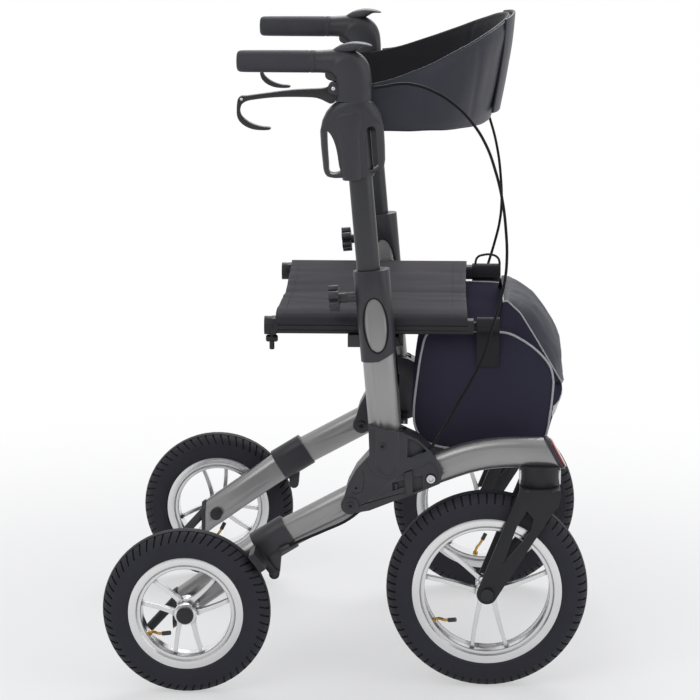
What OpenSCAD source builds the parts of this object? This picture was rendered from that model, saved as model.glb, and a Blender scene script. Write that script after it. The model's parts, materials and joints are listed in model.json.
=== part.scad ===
// All terrain rollator: two side frames on pneumatic wheels, joined by a folding cross,
// with sliding handles, a sling seat, a front bag and a padded back band.
// Millimetres. +X is forward, +Y is the user's left, +Z is up, and the tyres stand on Z = 0.

/* [Wheels] */
// Outer diameter of a front tyre
front_wheel_d = 305; // [290:1:320]
// Outer diameter of a rear tyre
rear_wheel_d = 254; // [240:1:268]
// Width of a front tyre
front_tyre_w = 54; // [48:1:58]
// Width of a rear tyre
rear_tyre_w = 50; // [44:1:54]
// Diameter of a front rim at its lip
front_rim_d = 226; // [210:1:236]
// Diameter of a rear rim at its lip
rear_rim_d = 173; // [160:1:182]
// Pairs of spokes in each rim
spoke_pairs = 3; // [2:1:4]

/* [Stance] */
// Distance between the front and rear axles
wheelbase = 452; // [440:1:470]
// Distance between the middle planes of the two side frames
frame_span = 520; // [500:1:560]
// Sideways distance from a side frame to its rear wheel
rear_wheel_offset = 48; // [46:1:56]
// Distance of a front axle behind its swivel axis
caster_trail = 78; // [72:1:84]
// Height of the front tube's centre line above the front axle
head_rise = 211.5; // [208:0.5:220]

/* [Frame tubes] */
// Height of the oval frame tubes
tube_h = 47; // [43:0.5:50]
// Width of the oval frame tubes
tube_w = 28; // [25:0.5:30]
// Wall of the frame tubes and posts
tube_wall = 2; // [1.5:0.1:2.5]
// Slope of the main tube through the hinge bracket (degrees)
front_slope = 20.5; // [19:0.5:22]
// Slope of the main tube behind the hinge bracket (degrees)
middle_slope = 28.4; // [27:0.2:30]
// Slope of the rear leg (degrees)
leg_slope = 35.6; // [34:0.2:37]
// Straight length at the front of the main tube
front_run = 59; // [54:1:66]
// Straight length of the main tube through the bracket
middle_run = 128; // [122:1:136]
// Radius of the main tube's front bend
front_bend_r = 250; // [230:1:270]
// Radius of the main tube's middle bend
middle_bend_r = 300; // [270:1:330]
// Wall of the sleeve that joins main tube and leg
sleeve_wall = 4; // [3:0.5:5]

/* [Posts and handles] */
// Backward lean of the posts (degrees)
post_lean = 5; // [4:0.5:6]
// Fore and aft size of a lower post
lower_post_l = 49; // [46:0.5:52]
// Width of a lower post
lower_post_w = 32; // [30:0.5:34]
// Fore and aft size of an upper post
upper_post_l = 35; // [32:0.5:36]
// Width of an upper post
upper_post_w = 24; // [22:0.5:25]
// Wall of the collar round a lower post
collar_wall = 2.5; // [2:0.5:3]
// Height of the collar above the seat rail's centre line
collar_rise = 92; // [86:1:100]
// Height of the grips' centre line
grip_height = 950; // [930:1:975]
// Diameter of a grip
grip_d = 33; // [31:0.5:35]
// Length of a grip
grip_l = 116; // [105:1:125]
// Diameter of a height clamp knob
knob_d = 40; // [34:1:44]

/* [Seat and fold] */
// Height of the seat rails' centre line
rail_height = 549; // [542:1:556]
// Distance of a seat rail inside its side frame's middle plane
rail_inset = 34; // [33:0.5:38]
// Width of a seat rail
rail_w = 24; // [20:0.5:25]
// Height of a seat rail
rail_h = 22; // [20:0.5:26]
// Length of a seat rail
rail_l = 302; // [290:1:315]
// Diameter of the folding cross bars
bar_d = 16; // [14:0.5:16]
// Diameter of the fold's hinge barrels
barrel_d = 19; // [18:0.5:20]
// Height of the cross bars' lower pivots
pivot_height = 300; // [296:1:304]
// Sag of the sling seat at its middle
seat_sag = 11; // [6:1:16]
// Thickness of the seat and strap webbing
fabric_t = 2; // [1.5:0.1:2.5]

/* [Bag and back band] */
// Width of the bag
bag_w = 408; // [380:1:412]
// Height of the bag's side panel
bag_h = 182; // [170:1:184]
// Length of the bag's side panel
bag_l = 210; // [195:1:215]
// Height of the back band at its middle
band_h = 150; // [130:1:165]
// Height of the back band at its ends
band_end_h = 62; // [56:1:70]
// Forward reach of the back band in front of its ends
band_reach = 220; // [205:1:230]
// Thickness of the back band's padding
band_t = 20; // [14:1:22]

/* [Hidden] */
$fn = 48;
right = -1;
left = 1;
// Overrun of a cut past the face that it opens
cut = 60;
// Clearance between fitted pieces of one body
fit = 0.1;
// Clearance of sliding tubes and of turning pins
run_fit = 0.1;
// Gap between pieces that move past each other
move_gap = 0.5;
// Gap between pieces that rest against each other
rest_gap = 0.3;

// Colours
silver = [0.62, 0.60, 0.58];
charcoal = [0.20, 0.20, 0.22];
black = [0.09, 0.09, 0.10];
steel = [0.75, 0.75, 0.76];
bright = [0.82, 0.82, 0.83];
grey_cloth = [0.30, 0.30, 0.32];
navy_cloth = [0.11, 0.12, 0.17];
red = [0.70, 0.05, 0.06];

// Wheels and axles
front_r = front_wheel_d / 2;
rear_r = rear_wheel_d / 2;
side_y = frame_span / 2;
front_axle_x = (wheelbase - front_r + rear_r) / 2;
rear_axle_x = front_axle_x - wheelbase;
swivel_x = front_axle_x + caster_trail;
axle_r = 6;
hub_r = 17;
rim_wall = 6;
rim_well = 9;
rim_w_share = 0.84;
spoke_t = 9;
spoke_set = 6;
spoke_root_w = 8;
spoke_tip_w = 9;
spoke_root_set = 9;
spoke_tip_share = 0.24;
right_spoke_turn = -33;
left_spoke_turn = -97;
tyre_wall = 7;
tread_groove = 1.6;
tread_groove_w = 3;
tread_groove_share = 0.22;

// Centre line of a side frame in its own plane, as [x, z]
function along(a) = [cos(a), sin(a)];
function bend_step(r, a, b) = r * [sin(b) - sin(a), cos(a) - cos(b)];
front_tube_z = front_r + head_rise;
front_overhang = 18;
front_end = [swivel_x + front_overhang, front_tube_z];
front_bend = front_end - [front_run, 0];
slope_start = front_bend - bend_step(front_bend_r, 0, front_slope);
middle_bend = slope_start - middle_run * along(front_slope);
back_start = middle_bend - bend_step(middle_bend_r, front_slope, middle_slope);
leg_axle_rise = 4.5;
leg_line = [rear_axle_x, rear_r + leg_axle_rise];
leg_bend_r = 90;
knee_reach = cross(back_start - leg_line, along(leg_slope)) / sin(leg_slope - middle_slope);
back_run = knee_reach - leg_bend_r * tan((leg_slope - middle_slope) / 2);
knee = back_start - back_run * along(middle_slope);
leg_start = knee - bend_step(leg_bend_r, middle_slope, leg_slope);
leg_overhang = 19;
leg_end_x = rear_axle_x - leg_overhang;
leg_run = (leg_start[0] - leg_end_x) / cos(leg_slope);
sleeve_front = 20;
sleeve_back = 34;
oval_sides = 24;
// Overlap of the cuts where a straight stretch runs into a bend
lap = 3;

// End caps
cap_tilt = 28.5;
cap_lip = 1.5;
cap_t = 6;
reflector_t = 3;
pedal_r = 7;
pedal_reach = 40;
pedal_drop = 44;

// Post foot on the main tube, and heights measured along the post
post_set = 103;
foot = slope_start - post_set * along(front_slope);
function up_post(z) = (z - foot[1]) / cos(post_lean);
function post_x(z) = foot[0] - (z - foot[1]) * tan(post_lean);
tilt = front_slope + post_lean;
post_gap = 2;
post_base = tube_h / 2 / cos(tilt) + lower_post_l / 2 * tan(tilt) + post_gap;
collar_top = up_post(rail_height + collar_rise);
collar_cap = 6;
post_top = collar_top - collar_cap;
collar_h = 137;
collar_cut_angle = 25;
bush_l = 34;
window_h = 83;
window_l = 37;
window_drop = 82;
window_sides = 48;
upper_post_set = 4;
post_tail = 85;
upper_post_bottom = up_post(rail_height - post_tail);
handle_seat = 40;
upper_post_top = up_post(grip_height - handle_seat);

// Height clamp
clamp_drop = 39;
clamp_h = collar_top - clamp_drop;
clamp_rod_r = 4;
boss_r = 7.5;
boss_l = 12;
knob_t = 15;
knob_neck_l = 12;
knob_lobes = 6;
knob_lobe_share = 0.16;

// Hinge bracket, with its outline as shares of its length and height from the post foot
bracket_l = 153;
bracket_h = 129;
bracket_out = 26;
bracket_in = 22;
bracket_end_r = 14;
bracket_shares = [
    [-0.21, 0.74], [0.11, 0.68], [0.27, 0.59], [0.40, 0.45], [0.47, 0.32], [0.52, 0.21], [0.49, 0.06],
    [0.24, -0.07], [0.03, -0.16], [-0.20, -0.27], [-0.39, -0.31], [-0.47, -0.20], [-0.41, 0.04],
    [-0.33, 0.22], [-0.20, 0.40]
];
bolt_r = 4;
bolt_head_r = 7;
bolt_head_t = 4;
bolt_shares = [[-0.386, -0.21], [0.40, 0.11], [-0.07, 0.51]];
leg_bolt_back = 50;

// Fold: lower pivots on the brackets, upper pivots under the seat rails
rail_y = side_y - rail_inset;
upper_pivot_drop = 11;
upper_pivot_z = rail_height - rail_h / 2 - upper_pivot_drop;
pin_r = 4;
ear_t = 6;
barrel_l = 50;
barrel_back = 38;
barrel_x = foot[0] - barrel_back;
bar_a_x = barrel_x + barrel_l / 4;
bar_b_x = barrel_x + barrel_l * 3 / 4;
bar_rise = upper_pivot_z - pivot_height;
bar_span = 2 * rail_y;
bar_l = sqrt(bar_rise * bar_rise + bar_span * bar_span);
bar_angle = atan2(bar_rise, bar_span);
centre_z = (pivot_height + upper_pivot_z) / 2;
centre_boss_r = 13;
centre_boss_l = 18;
centre_pin_r = 5;

// Seat rail and its saddle on the collar
rail_corner = 5;
seat_steps = 24;
hem_steps = 6;
hem_gap = 14;
rail_rear_x = -112;
rail_cap_r = 14;
rail_cap_t = 12;
rail_rod_r = 7;
rail_rod_l = 38;
saddle_l = 18;
saddle_t = 9;
saddle_web_t = 3.6;
saddle_gap = 2;
hook_drop = 30;
hook_r = 4;
hook_bar_l = 22;
hook_tail = 12;

// Caster head, fork and front axle
head_r = 30;
head_hug = 5;
crown_t = 14;
stem_r = 9;
stem_l = 20;
fork_gap = 6;
fork_t = 5;
fork_end_r = 15.5;
head_h = 26;
crown_top = front_tube_z - tube_h / 2 - head_h;
fork_h = crown_top - front_r;
fork_in = front_tyre_w / 2 + fork_gap;
fork_shares = [
    [0.61, 1], [1.38, 1], [1.36, 0.86], [1.11, 0.68], [0.156, -0.059], [-0.19, 0.028]
];
fork_window_shares = [
    [0.75, 0.80], [0.88, 0.73], [0.83, 0.62], [0.63, 0.48], [0.30, 0.29], [0.56, 0.65]
];
axle_head_r = 9;
axle_head_t = 5;

// Rear hub, measured from the side frame's plane
hub_gap = 0.5;
rear_hub_half = 27;
hub_cap_r = 13;
hub_cap_t = 6;
axle_nut_r = 10;
axle_nut_t = 7;

// Brake: pad placed by its angle on the rear tyre, arm pivot below it on the sleeve
pad_angle = 36.7;
pad_gap = 3;
pad_t = 10;
pad_l = 30;
brake_arm_l = 38;
brake_arm_w = 11;
brake_arm_t = 7;
brake_boss_r = 8;
pad_r = rear_r + pad_gap + pad_t / 2;
pad_at = [rear_axle_x, rear_r] + pad_r * along(pad_angle);
brake_at = pad_at - brake_arm_l * [-sin(pad_angle), cos(pad_angle)];
sleeve_out = tube_w / 2 + sleeve_wall;
web_inset = 1;
brake_web_y = side_y + sleeve_out - web_inset;
brake_web = knee - brake_at;
brake_web_angle = -atan2(brake_web[0], brake_web[1]);

// Handle
elbow_r = 39.5;
elbow_step = 0.75;
elbow_tube_r = grip_d / 2 + elbow_step;
grip_front_x = -44.5;
elbow_x = -17;
handle_core_r = 11;
core_end_gap = 6;
handle_foot_h = 57;
handle_foot_l = 57;
handle_foot_w = 37;
fin_w = 16;
fin_l = 54;
fin_h = 22;
fin_shares = [
    [-0.02, 0.1], [0.12, 0.45], [0.3, 0.75], [0.5, 0.93], [0.7, 1], [0.87, 0.97], [1, 0.85],
    [0.97, 0.72], [0.8, 0.5], [0.6, 0.1], [0.3, -0.4]
];
nub_w = 20;
nub_l = 27;
nub_h = 29;
nub_shares = [
    [-0.48, -0.34], [-0.48, -0.78], [-0.40, -0.88], [-0.28, -0.92], [0.04, -1], [0.52, -1],
    [0.52, -0.34]
];
lever_w = 12;
lever_ear_t = 5;
lever_ear_r = 9;
lever_pin_r = 3;
lever_boss_r = 8;
lever_drop = 38.5;
lever_back = 1;
lever_x = elbow_x - lever_back;
lever_z = grip_height - lever_drop;
lever_l = 143;
lever_h = 63;
lever_shares = [
    [-0.007, -0.119], [-0.007, -0.357], [-0.039, -0.365], [-0.077, -0.322], [-0.131, -0.267],
    [-0.222, -0.221], [-0.474, -0.213], [-0.658, -0.233], [-0.819, -0.279], [-0.881, -0.306],
    [-0.920, -0.344], [-0.947, -0.405], [-0.961, -0.500], [-0.959, -0.587], [-0.941, -0.675],
    [-0.889, -0.778], [-0.820, -0.859], [-0.740, -0.906], [-0.671, -0.916], [-0.648, -0.941],
    [-0.648, -0.970], [-0.671, -0.992], [-0.741, -0.998], [-0.832, -0.976], [-0.913, -0.900],
    [-0.972, -0.786], [-0.995, -0.667], [-1.000, -0.532], [-0.996, -0.373], [-0.985, -0.256],
    [-0.948, -0.192], [-0.887, -0.187], [-0.738, -0.143], [-0.566, -0.089], [-0.371, -0.035],
    [-0.119, -0.014], [-0.045, 0.032]
];
// Steps of the round boss at the lever's pivot, and the angles where it leaves and meets the blade (degrees)
lever_boss_steps = 24;
lever_boss_from = 150;
lever_boss_to = -85;

// Shroud below the handle, with its outline as shares of its length and height from the post's axis
shroud_l = 98;
shroud_t = 36;
shroud_wall = 3;
shroud_drop_share = 0.429;
shroud_drop = shroud_drop_share * (grip_height - rail_height);
shroud_lap = 1;
shroud_h = shroud_drop - handle_foot_h + shroud_lap;
shroud_shares = [
    [0.20, 0.99], [0.275, 0.97], [0.35, 0.885], [0.395, 0.79], [0.416, 0.63], [0.408, 0.40],
    [0.395, 0.21], [0.37, 0.13], [0.32, 0.09], [0.27, 0.075], [0.06, 0.045], [0.04, 0], [-0.27, 0],
    [-0.285, 0.04], [-0.45, 0.035], [-0.50, 0.06], [-0.53, 0.10], [-0.546, 0.16], [-0.551, 0.45],
    [-0.544, 0.65], [-0.496, 0.78], [-0.427, 0.88], [-0.345, 0.95], [-0.24, 0.99]
];
rear_slot_shares = [
    [-0.447, 0.103], [-0.453, 0.24], [-0.451, 0.45], [-0.436, 0.64], [-0.415, 0.645], [-0.374, 0.59],
    [-0.334, 0.50], [-0.304, 0.38], [-0.297, 0.20], [-0.291, 0.104]
];
front_slot_shares = [
    [0.09, 0.125], [0.091, 0.31], [0.119, 0.585], [0.168, 0.656], [0.245, 0.671], [0.285, 0.645],
    [0.296, 0.59], [0.294, 0.46], [0.279, 0.15]
];

// Bag, with its side panel as shares of its length and height from its rear lower corner
bag_rear_x = 104;
bag_top_gap = 8;
bag_top = rail_height - rail_h / 2 - bag_top_gap;
bag_shares = [
    [0.09, 1], [0.03, 0.76], [0, 0.34], [0.04, 0.15], [0.13, 0.04], [0.29, 0], [0.80, 0], [0.90, 0.04],
    [0.97, 0.24], [1, 0.52], [0.97, 0.72], [0.88, 0.86], [0.76, 0.96], [0.64, 1]
];
flap_w = 330;
flap_shares = [
    [0.50, 0.60], [0.56, 1.10], [0.66, 1.20], [0.78, 1.16], [0.93, 1.04], [1.03, 0.86], [1.07, 0.64],
    [1.10, 0.40], [1.08, 0.22], [0.98, 0.06], [0.88, 0.10]
];
strap_l = 24;
strap_from = 6;

// Back band
band_end_x = 6;
band_drop = 103;
band_lean = 11;
band_swell_share = 1.6;
band_end_t = 9;
band_rings = 36;
band_sides = 16;

// Brake cable route, chosen by hand: [x, distance outside the side frame's plane, z],
// and between the handle and the bracket's duct the height as a share of the drop
cable_r = 2.6;
cable_sides = 8;
duct_y = 20.5;
cable_start_drop = 38;
cable_start_z = grip_height - cable_start_drop;
foot_front = post_x(cable_start_z) - upper_post_set + handle_foot_l / 2;
cable_start_x = max(foot_front, elbow_x + elbow_r + elbow_tube_r) + 2 * rest_gap;
cable_shares = [
    [58, 0, 1.004], [76, 0, 1.01], [100, 0, 1.008], [130, 2, 0.989], [160, 3, 0.953], [186, 4, 0.903],
    [206, 5, 0.843], [220, 6, 0.772], [230, 7, 0.697], [236, 8, 0.613], [238, 9, 0.523],
    [235, 10, 0.464], [228, 12, 0.406], [217, 14, 0.333], [204, 16, 0.252], [186, 18, 0.183],
    [168, 19, 0.125], [152, 20, 0.071], [140, 20.5, 0.032]
];
duct_in = [129, 20.5, 377];
cable_rise = cable_start_z - duct_in[2];
cable_top = concat(
    [[cable_start_x, 0, cable_start_z]],
    [for (c = cable_shares) [c[0], c[1], duct_in[2] + c[2] * cable_rise]]
);
duct_out = [6, 20.5, 264];
cable_end = [[-34, 20.5, 244], [-70, 20.5, 228], [-84, 20.5, 221]];
cable_route = concat(cable_top, [duct_in, duct_out], cable_end);
ferrule_r = 4.5;
ferrule_l = 16;

// Placing helpers

// Pieces are drawn on the left, and mirrored for the right
module on_side(side) mirror([0, side == right ? 1 : 0, 0]) children();

// A flat outline in X and Z, given thickness from y0 to y1
module plate(y0, y1) translate([0, y1, 0]) rotate([90, 0, 0]) linear_extrude(y1 - y0) children();

module y_rod(at, r, y0, y1) translate([at[0], y0, at[1]]) rotate([-90, 0, 0]) cylinder(h = y1 - y0, r = r);

module x_rod(y, z, r, x0, x1) translate([x0, y, z]) rotate([0, 90, 0]) cylinder(h = x1 - x0, r = r);

module on_post() translate([foot[0], side_y, foot[1]]) rotate([0, -post_lean, 0]) children();

// An oval outline with half round ends
module oval(l, w) {
    square([l - w, w], center = true);
    for (end = [-1, 1]) translate([end * (l - w) / 2, 0]) circle(d = w);
}

module round_rect(l, w, r) {
    square([l - 2 * r, w], center = true);
    square([l, w - 2 * r], center = true);
    for (i = [-1, 1], j = [-1, 1]) translate([i * (l / 2 - r), j * (w / 2 - r)]) circle(r = r);
}

// Oval tube stretches along a side frame, grown all round by g
module tube_run(from, slope, l, g) {
    translate([from[0], side_y, from[1]])
        rotate([0, -90 - slope, 0])
            linear_extrude(l) oval(tube_h + 2 * g, tube_w + 2 * g);
}

module tube_bend(from, slope, turn, r, g) {
    translate([from[0] + r * sin(slope), side_y, from[1] - r * cos(slope)])
        rotate([90, 0, 0])
            rotate([0, 0, 90 + slope])
                rotate_extrude(angle = turn) translate([r, 0]) oval(tube_h + 2 * g, tube_w + 2 * g);
}

// Room for the main tube's front stretch, and for its stretches through the bracket
module front_room() tube_run(front_end + [cut, 0], 0, front_run + cut, fit);

module middle_room() {
    tube_run(slope_start, front_slope, middle_run + lap, fit);
    tube_bend(middle_bend, front_slope, middle_slope - front_slope, middle_bend_r, 2 * fit);
    tube_run(back_start + lap * along(middle_slope), middle_slope, back_run + lap, fit);
}

// The slice of space from t0 to t1 in front of the main tube's slanted end
module front_slab(t0, t1) {
    translate([front_end[0], side_y, front_end[1]])
        rotate([0, -cap_tilt, 0])
            translate([t0, -tube_h, -tube_h]) cube([t1 - t0, 2 * tube_h, 2 * tube_h]);
}

// The slice of space from t0 to t1 behind the leg's upright end
module rear_slab(t0, t1) {
    translate([leg_end_x - t1, side_y - tube_h, 0]) cube([t1 - t0, 2 * tube_h, 2 * rear_r]);
}

// A bracket place, given as shares of the bracket's size from the post foot
function bracket_at(s) = foot + [s[0] * bracket_l, s[1] * bracket_h];
leg_bolt_at = leg_line + leg_bolt_back * along(leg_slope) + [0, leg_axle_rise];

module bracket_bores(g) for (s = bolt_shares) y_rod(bracket_at(s), bolt_r + g, side_y - cut, side_y + cut);

// Side frame pieces

// Stations along the main tube, each a place and a slope, from its slanted front end to the knee
bend_steps = 5;
function bend_stations(from, r, a, b) = [for (i = [0 : bend_steps])
    let (slope = a + (b - a) * i / bend_steps) [from - bend_step(r, a, slope), slope, 0]];
main_stations = concat(
    [[front_end, 0, tan(cap_tilt)]],
    bend_stations(front_bend, front_bend_r, 0, front_slope),
    bend_stations(middle_bend, middle_bend_r, front_slope, middle_slope),
    [[knee, middle_slope, 0]]
);

// Points round an oval, half of them on each round end
function oval_points(l, w, n) = [for (end = [1, -1], i = [0 : n / 2 - 1])
    let (a = -90 + 180 * i / (n / 2 - 1)) end * [(l - w) / 2 + w / 2 * cos(a), w / 2 * sin(a)]];

// An oval ring at a station, sheared by the third value to follow a slanted cut
function station_ring(at, g) = [for (p = oval_points(tube_h + 2 * g, tube_w + 2 * g, oval_sides))
    [at[0][0] - p[0] * sin(at[1]) - p[0] * at[2], side_y + p[1], at[0][1] + p[0] * cos(at[1])]];

// A hollow tube through a list of stations
module swept_oval(stations) {
    n = oval_sides;
    last = len(stations) - 1;
    inner = (last + 1) * n;
    outside = [for (at = stations) each station_ring(at, 0)];
    inside = [for (at = stations) each station_ring(at, -tube_wall)];
    walls = [for (i = [0 : last - 1], k = [0 : n - 1])
        let (a = i * n + k, b = i * n + (k + 1) % n)
        each [[a, b, a + n], [b, b + n, a + n],
            [inner + a, inner + a + n, inner + b], [inner + b, inner + a + n, inner + b + n]]];
    ends = [for (k = [0 : n - 1])
        let (j = (k + 1) % n, e = last * n)
        each [[k, inner + k, j], [j, inner + k, inner + j],
            [e + k, e + j, inner + e + k], [e + j, inner + e + j, inner + e + k]]];
    polyhedron(concat(outside, inside), concat(walls, ends));
}

module main_tube(side) color(silver) on_side(side) difference() {
    swept_oval(main_stations);
    bracket_bores(fit);
}

module leg_tube(side) color(silver) on_side(side) difference() {
    tube_run(leg_start, leg_slope, leg_run + cut, 0);
    tube_run(leg_start, leg_slope, leg_run + cut, -tube_wall);
    rear_slab(0, 2 * cut);
    y_rod([rear_axle_x, rear_r], axle_r + fit, side_y - cut, side_y + cut);
    y_rod(leg_bolt_at, bolt_r + fit, side_y, side_y + cut);
}

module tube_sleeve(side) color(black) on_side(side) {
    slope = (middle_slope + leg_slope) / 2;
    difference() {
        union() {
            tube_run(knee + sleeve_front * along(slope), slope, sleeve_front + sleeve_back, sleeve_wall);
            plate(side_y, brake_web_y) {
                translate(brake_at) circle(r = brake_boss_r);
                translate(brake_at) rotate(brake_web_angle) translate([-brake_boss_r, 0])
                    square([2 * brake_boss_r, norm(knee - brake_at)]);
            }
            translate([cable_end[2][0], side_y + duct_y, cable_end[2][2]])
                rotate([0, -90 - middle_slope, 0]) translate([0, 0, rest_gap])
                    cylinder(h = ferrule_l, r = ferrule_r);
        }
        tube_run(back_start, middle_slope, back_run, fit);
        tube_run(leg_start, leg_slope, leg_run, fit);
    }
    y_rod(brake_at, pin_r, brake_web_y, side_y + sleeve_out + brake_arm_t + 2 * move_gap);
}

module front_cap(side) color(black) on_side(side) intersection() {
    tube_run(front_end + [cut, 0], 0, 2 * cut, cap_lip);
    front_slab(0, cap_t);
}

module reflector(side) color(red) on_side(side) intersection() {
    tube_run(front_end + [cut, 0], 0, 2 * cut, -tube_wall);
    front_slab(cap_t, cap_t + reflector_t);
}

module rear_cap(side) color(black) on_side(side) {
    intersection() {
        tube_run(leg_start, leg_slope, leg_run + cut, cap_lip);
        rear_slab(0, cap_t);
    }
    pedal_l = norm([pedal_reach, pedal_drop]);
    translate([leg_end_x - cap_t / 2, side_y, rear_r]) rotate([0, 180 + atan2(pedal_reach, pedal_drop), 0]) {
        cylinder(h = pedal_l, r = pedal_r);
        translate([0, 0, pedal_l]) sphere(r = pedal_r);
    }
}

module bracket(side) color(black) on_side(side) {
    ear_z = pivot_height;
    difference() {
        union() {
            plate(side_y - bracket_in, side_y + bracket_out) {
                polygon([for (s = bracket_shares) bracket_at(s)]);
                translate(bracket_at(bolt_shares[0])) circle(r = bracket_end_r);
            }
            for (x = [barrel_x - ear_t - move_gap, barrel_x + barrel_l + move_gap]) {
                x_rod(rail_y, ear_z, barrel_d / 2, x, x + ear_t);
                translate([x, rail_y, ear_z - barrel_d / 2])
                    cube([ear_t, rail_inset - tube_w / 2 - fit, barrel_d]);
                translate([x, side_y - bracket_in, ear_z - barrel_d / 2])
                    cube([ear_t, bracket_in - tube_w / 2 - fit, foot[1] - ear_z + barrel_d / 2]);
            }
        }
        middle_room();
        on_post() translate([0, 0, post_base]) linear_extrude(bracket_h)
            oval(lower_post_l + 2 * fit, lower_post_w + 2 * fit);
        bracket_bores(fit);
        cable_duct();
    }
    x_rod(rail_y, ear_z, pin_r, barrel_x - ear_t, barrel_x + barrel_l + ear_t);
}

// The straight bore that leads the brake cable through the bracket's outer wall
module cable_duct() {
    run = duct_in - duct_out;
    translate([duct_out[0], side_y + duct_y, duct_out[2]])
        rotate([0, atan2(run[0], run[2]), 0])
            translate([0, 0, -cut]) cylinder(h = norm(run) + 2 * cut, r = cable_r + 2 * fit);
}

module fasteners(side) color(steel) on_side(side) {
    for (s = bolt_shares) {
        y_rod(bracket_at(s), bolt_r, side_y - bracket_in, side_y + bracket_out);
        y_rod(bracket_at(s), bolt_head_r, side_y + bracket_out, side_y + bracket_out + bolt_head_t);
        y_rod(bracket_at(s), bolt_head_r, side_y - bracket_in - bolt_head_t, side_y - bracket_in);
    }
    y_rod(leg_bolt_at, bolt_r, side_y + tube_w / 2 - tube_wall, side_y + tube_w / 2);
    y_rod(leg_bolt_at, bolt_head_r, side_y + tube_w / 2, side_y + tube_w / 2 + bolt_head_t);
}

module lower_post(side) color(silver) on_side(side) difference() {
    on_post() translate([0, 0, post_base]) linear_extrude(post_top - post_base) difference() {
        oval(lower_post_l, lower_post_w);
        oval(lower_post_l - 2 * tube_wall, lower_post_w - 2 * tube_wall);
    }
    bracket_bores(fit);
    clamp_bore(fit);
}

// A bore from the post's axis out through its rear wall, for the clamp's rod
module clamp_bore(g) on_post() x_rod(0, clamp_h, clamp_rod_r + g, -lower_post_l - boss_l, -lower_post_l / 4);

module collar(side) color(black) on_side(side) {
    inner_l = lower_post_l - 2 * tube_wall - 2 * fit;
    inner_w = lower_post_w - 2 * tube_wall - 2 * fit;
    rear = lower_post_l / 2 + collar_wall;
    difference() {
        union() {
            on_post() difference() {
                union() {
                    translate([0, 0, collar_top - collar_h]) linear_extrude(collar_h)
                        oval(lower_post_l + 2 * collar_wall, lower_post_w + 2 * collar_wall);
                    x_rod(0, clamp_h, boss_r, -rear - boss_l, -lower_post_l / 2 + collar_wall);
                }
                translate([0, 0, collar_top - collar_h]) rotate([0, -collar_cut_angle, 0])
                    translate([-lower_post_l, -lower_post_w, -cut])
                        cube([2 * lower_post_l, 2 * lower_post_w, cut]);
            }
            saddle();
        }
        on_post() difference() {
            linear_extrude(post_top + fit) oval(lower_post_l + 2 * fit, lower_post_w + 2 * fit);
            translate([0, 0, post_top - bush_l]) linear_extrude(bush_l + cut) oval(inner_l, inner_w);
        }
        on_post() linear_extrude(collar_top + cut) translate([-upper_post_set, 0])
            oval(upper_post_l + 2 * run_fit, upper_post_w + 2 * run_fit);
        clamp_bore(run_fit);
        on_post() translate([0, 0, collar_top - window_drop])
            plate(lower_post_w / 2 - collar_wall, lower_post_w) polygon([for (i = [1 : window_sides])
                [window_l / 2 * cos(i * 360 / window_sides), window_h / 2 * sin(i * 360 / window_sides)]]);
    }
}

// Hook on the collar that the open seat rail rests in
module saddle() {
    top = rail_height - rail_h / 2 - rest_gap;
    x0 = barrel_x - move_gap - ear_t - saddle_gap - saddle_l;
    web_y = side_y - lower_post_w / 2 - saddle_web_t - fit;
    translate([x0, rail_y - rail_w / 2, top - saddle_t])
        cube([saddle_l, web_y - rail_y + rail_w / 2, saddle_t]);
    translate([x0, web_y, top - 2 * saddle_t]) cube([post_x(rail_height) - x0, saddle_web_t, 2 * saddle_t]);
}

module caster_head(side) color(black) on_side(side) difference() {
    translate([swivel_x, side_y, crown_top + move_gap])
        cylinder(h = front_tube_z - tube_h / 2 + head_hug - crown_top - move_gap, r = head_r);
    front_room();
    translate([swivel_x, side_y, crown_top]) cylinder(h = stem_l + move_gap, r = stem_r + run_fit);
}

module rear_axle(side) color(black) on_side(side) {
    at = [rear_axle_x, rear_r];
    in_face = side_y - tube_w / 2;
    hub_in = side_y + rear_wheel_offset - rear_hub_half;
    hub_out = side_y + rear_wheel_offset + rear_hub_half;
    y_rod(at, axle_r, in_face - axle_nut_t, hub_out + hub_gap);
    y_rod(at, axle_nut_r, in_face - axle_nut_t, in_face);
    y_rod(at, axle_nut_r, side_y + tube_w / 2, hub_in - hub_gap);
    y_rod(at, hub_cap_r, hub_out + hub_gap, hub_out + hub_gap + hub_cap_t);
}

// Handle pieces, which slide on the post

module upper_oval(g) translate([-upper_post_set, 0]) oval(upper_post_l + 2 * g, upper_post_w + 2 * g);

module upper_post(side) color(charcoal) on_side(side) on_post()
    translate([0, 0, upper_post_bottom]) linear_extrude(upper_post_top - upper_post_bottom) difference() {
        upper_oval(0);
        upper_oval(-tube_wall);
    }

shroud_base = up_post(grip_height - shroud_drop);
handle_base = up_post(grip_height - handle_foot_h);

module shroud_outline(shares) translate([-upper_post_set, shroud_base])
    polygon([for (s = shares) [s[0] * shroud_l, s[1] * shroud_h]]);

module shroud(side) color(black) on_side(side) on_post() difference() {
    union() {
        plate(-shroud_t / 2, shroud_t / 2) difference() {
            shroud_outline(shroud_shares);
            shroud_outline(rear_slot_shares);
            shroud_outline(front_slot_shares);
        }
        translate([0, 0, shroud_base]) linear_extrude(shroud_h) upper_oval(shroud_wall);
    }
    linear_extrude(upper_post_top) upper_oval(fit);
    translate([0, 0, handle_base]) linear_extrude(shroud_h) square([2 * shroud_l, shroud_l], center = true);
}

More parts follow.
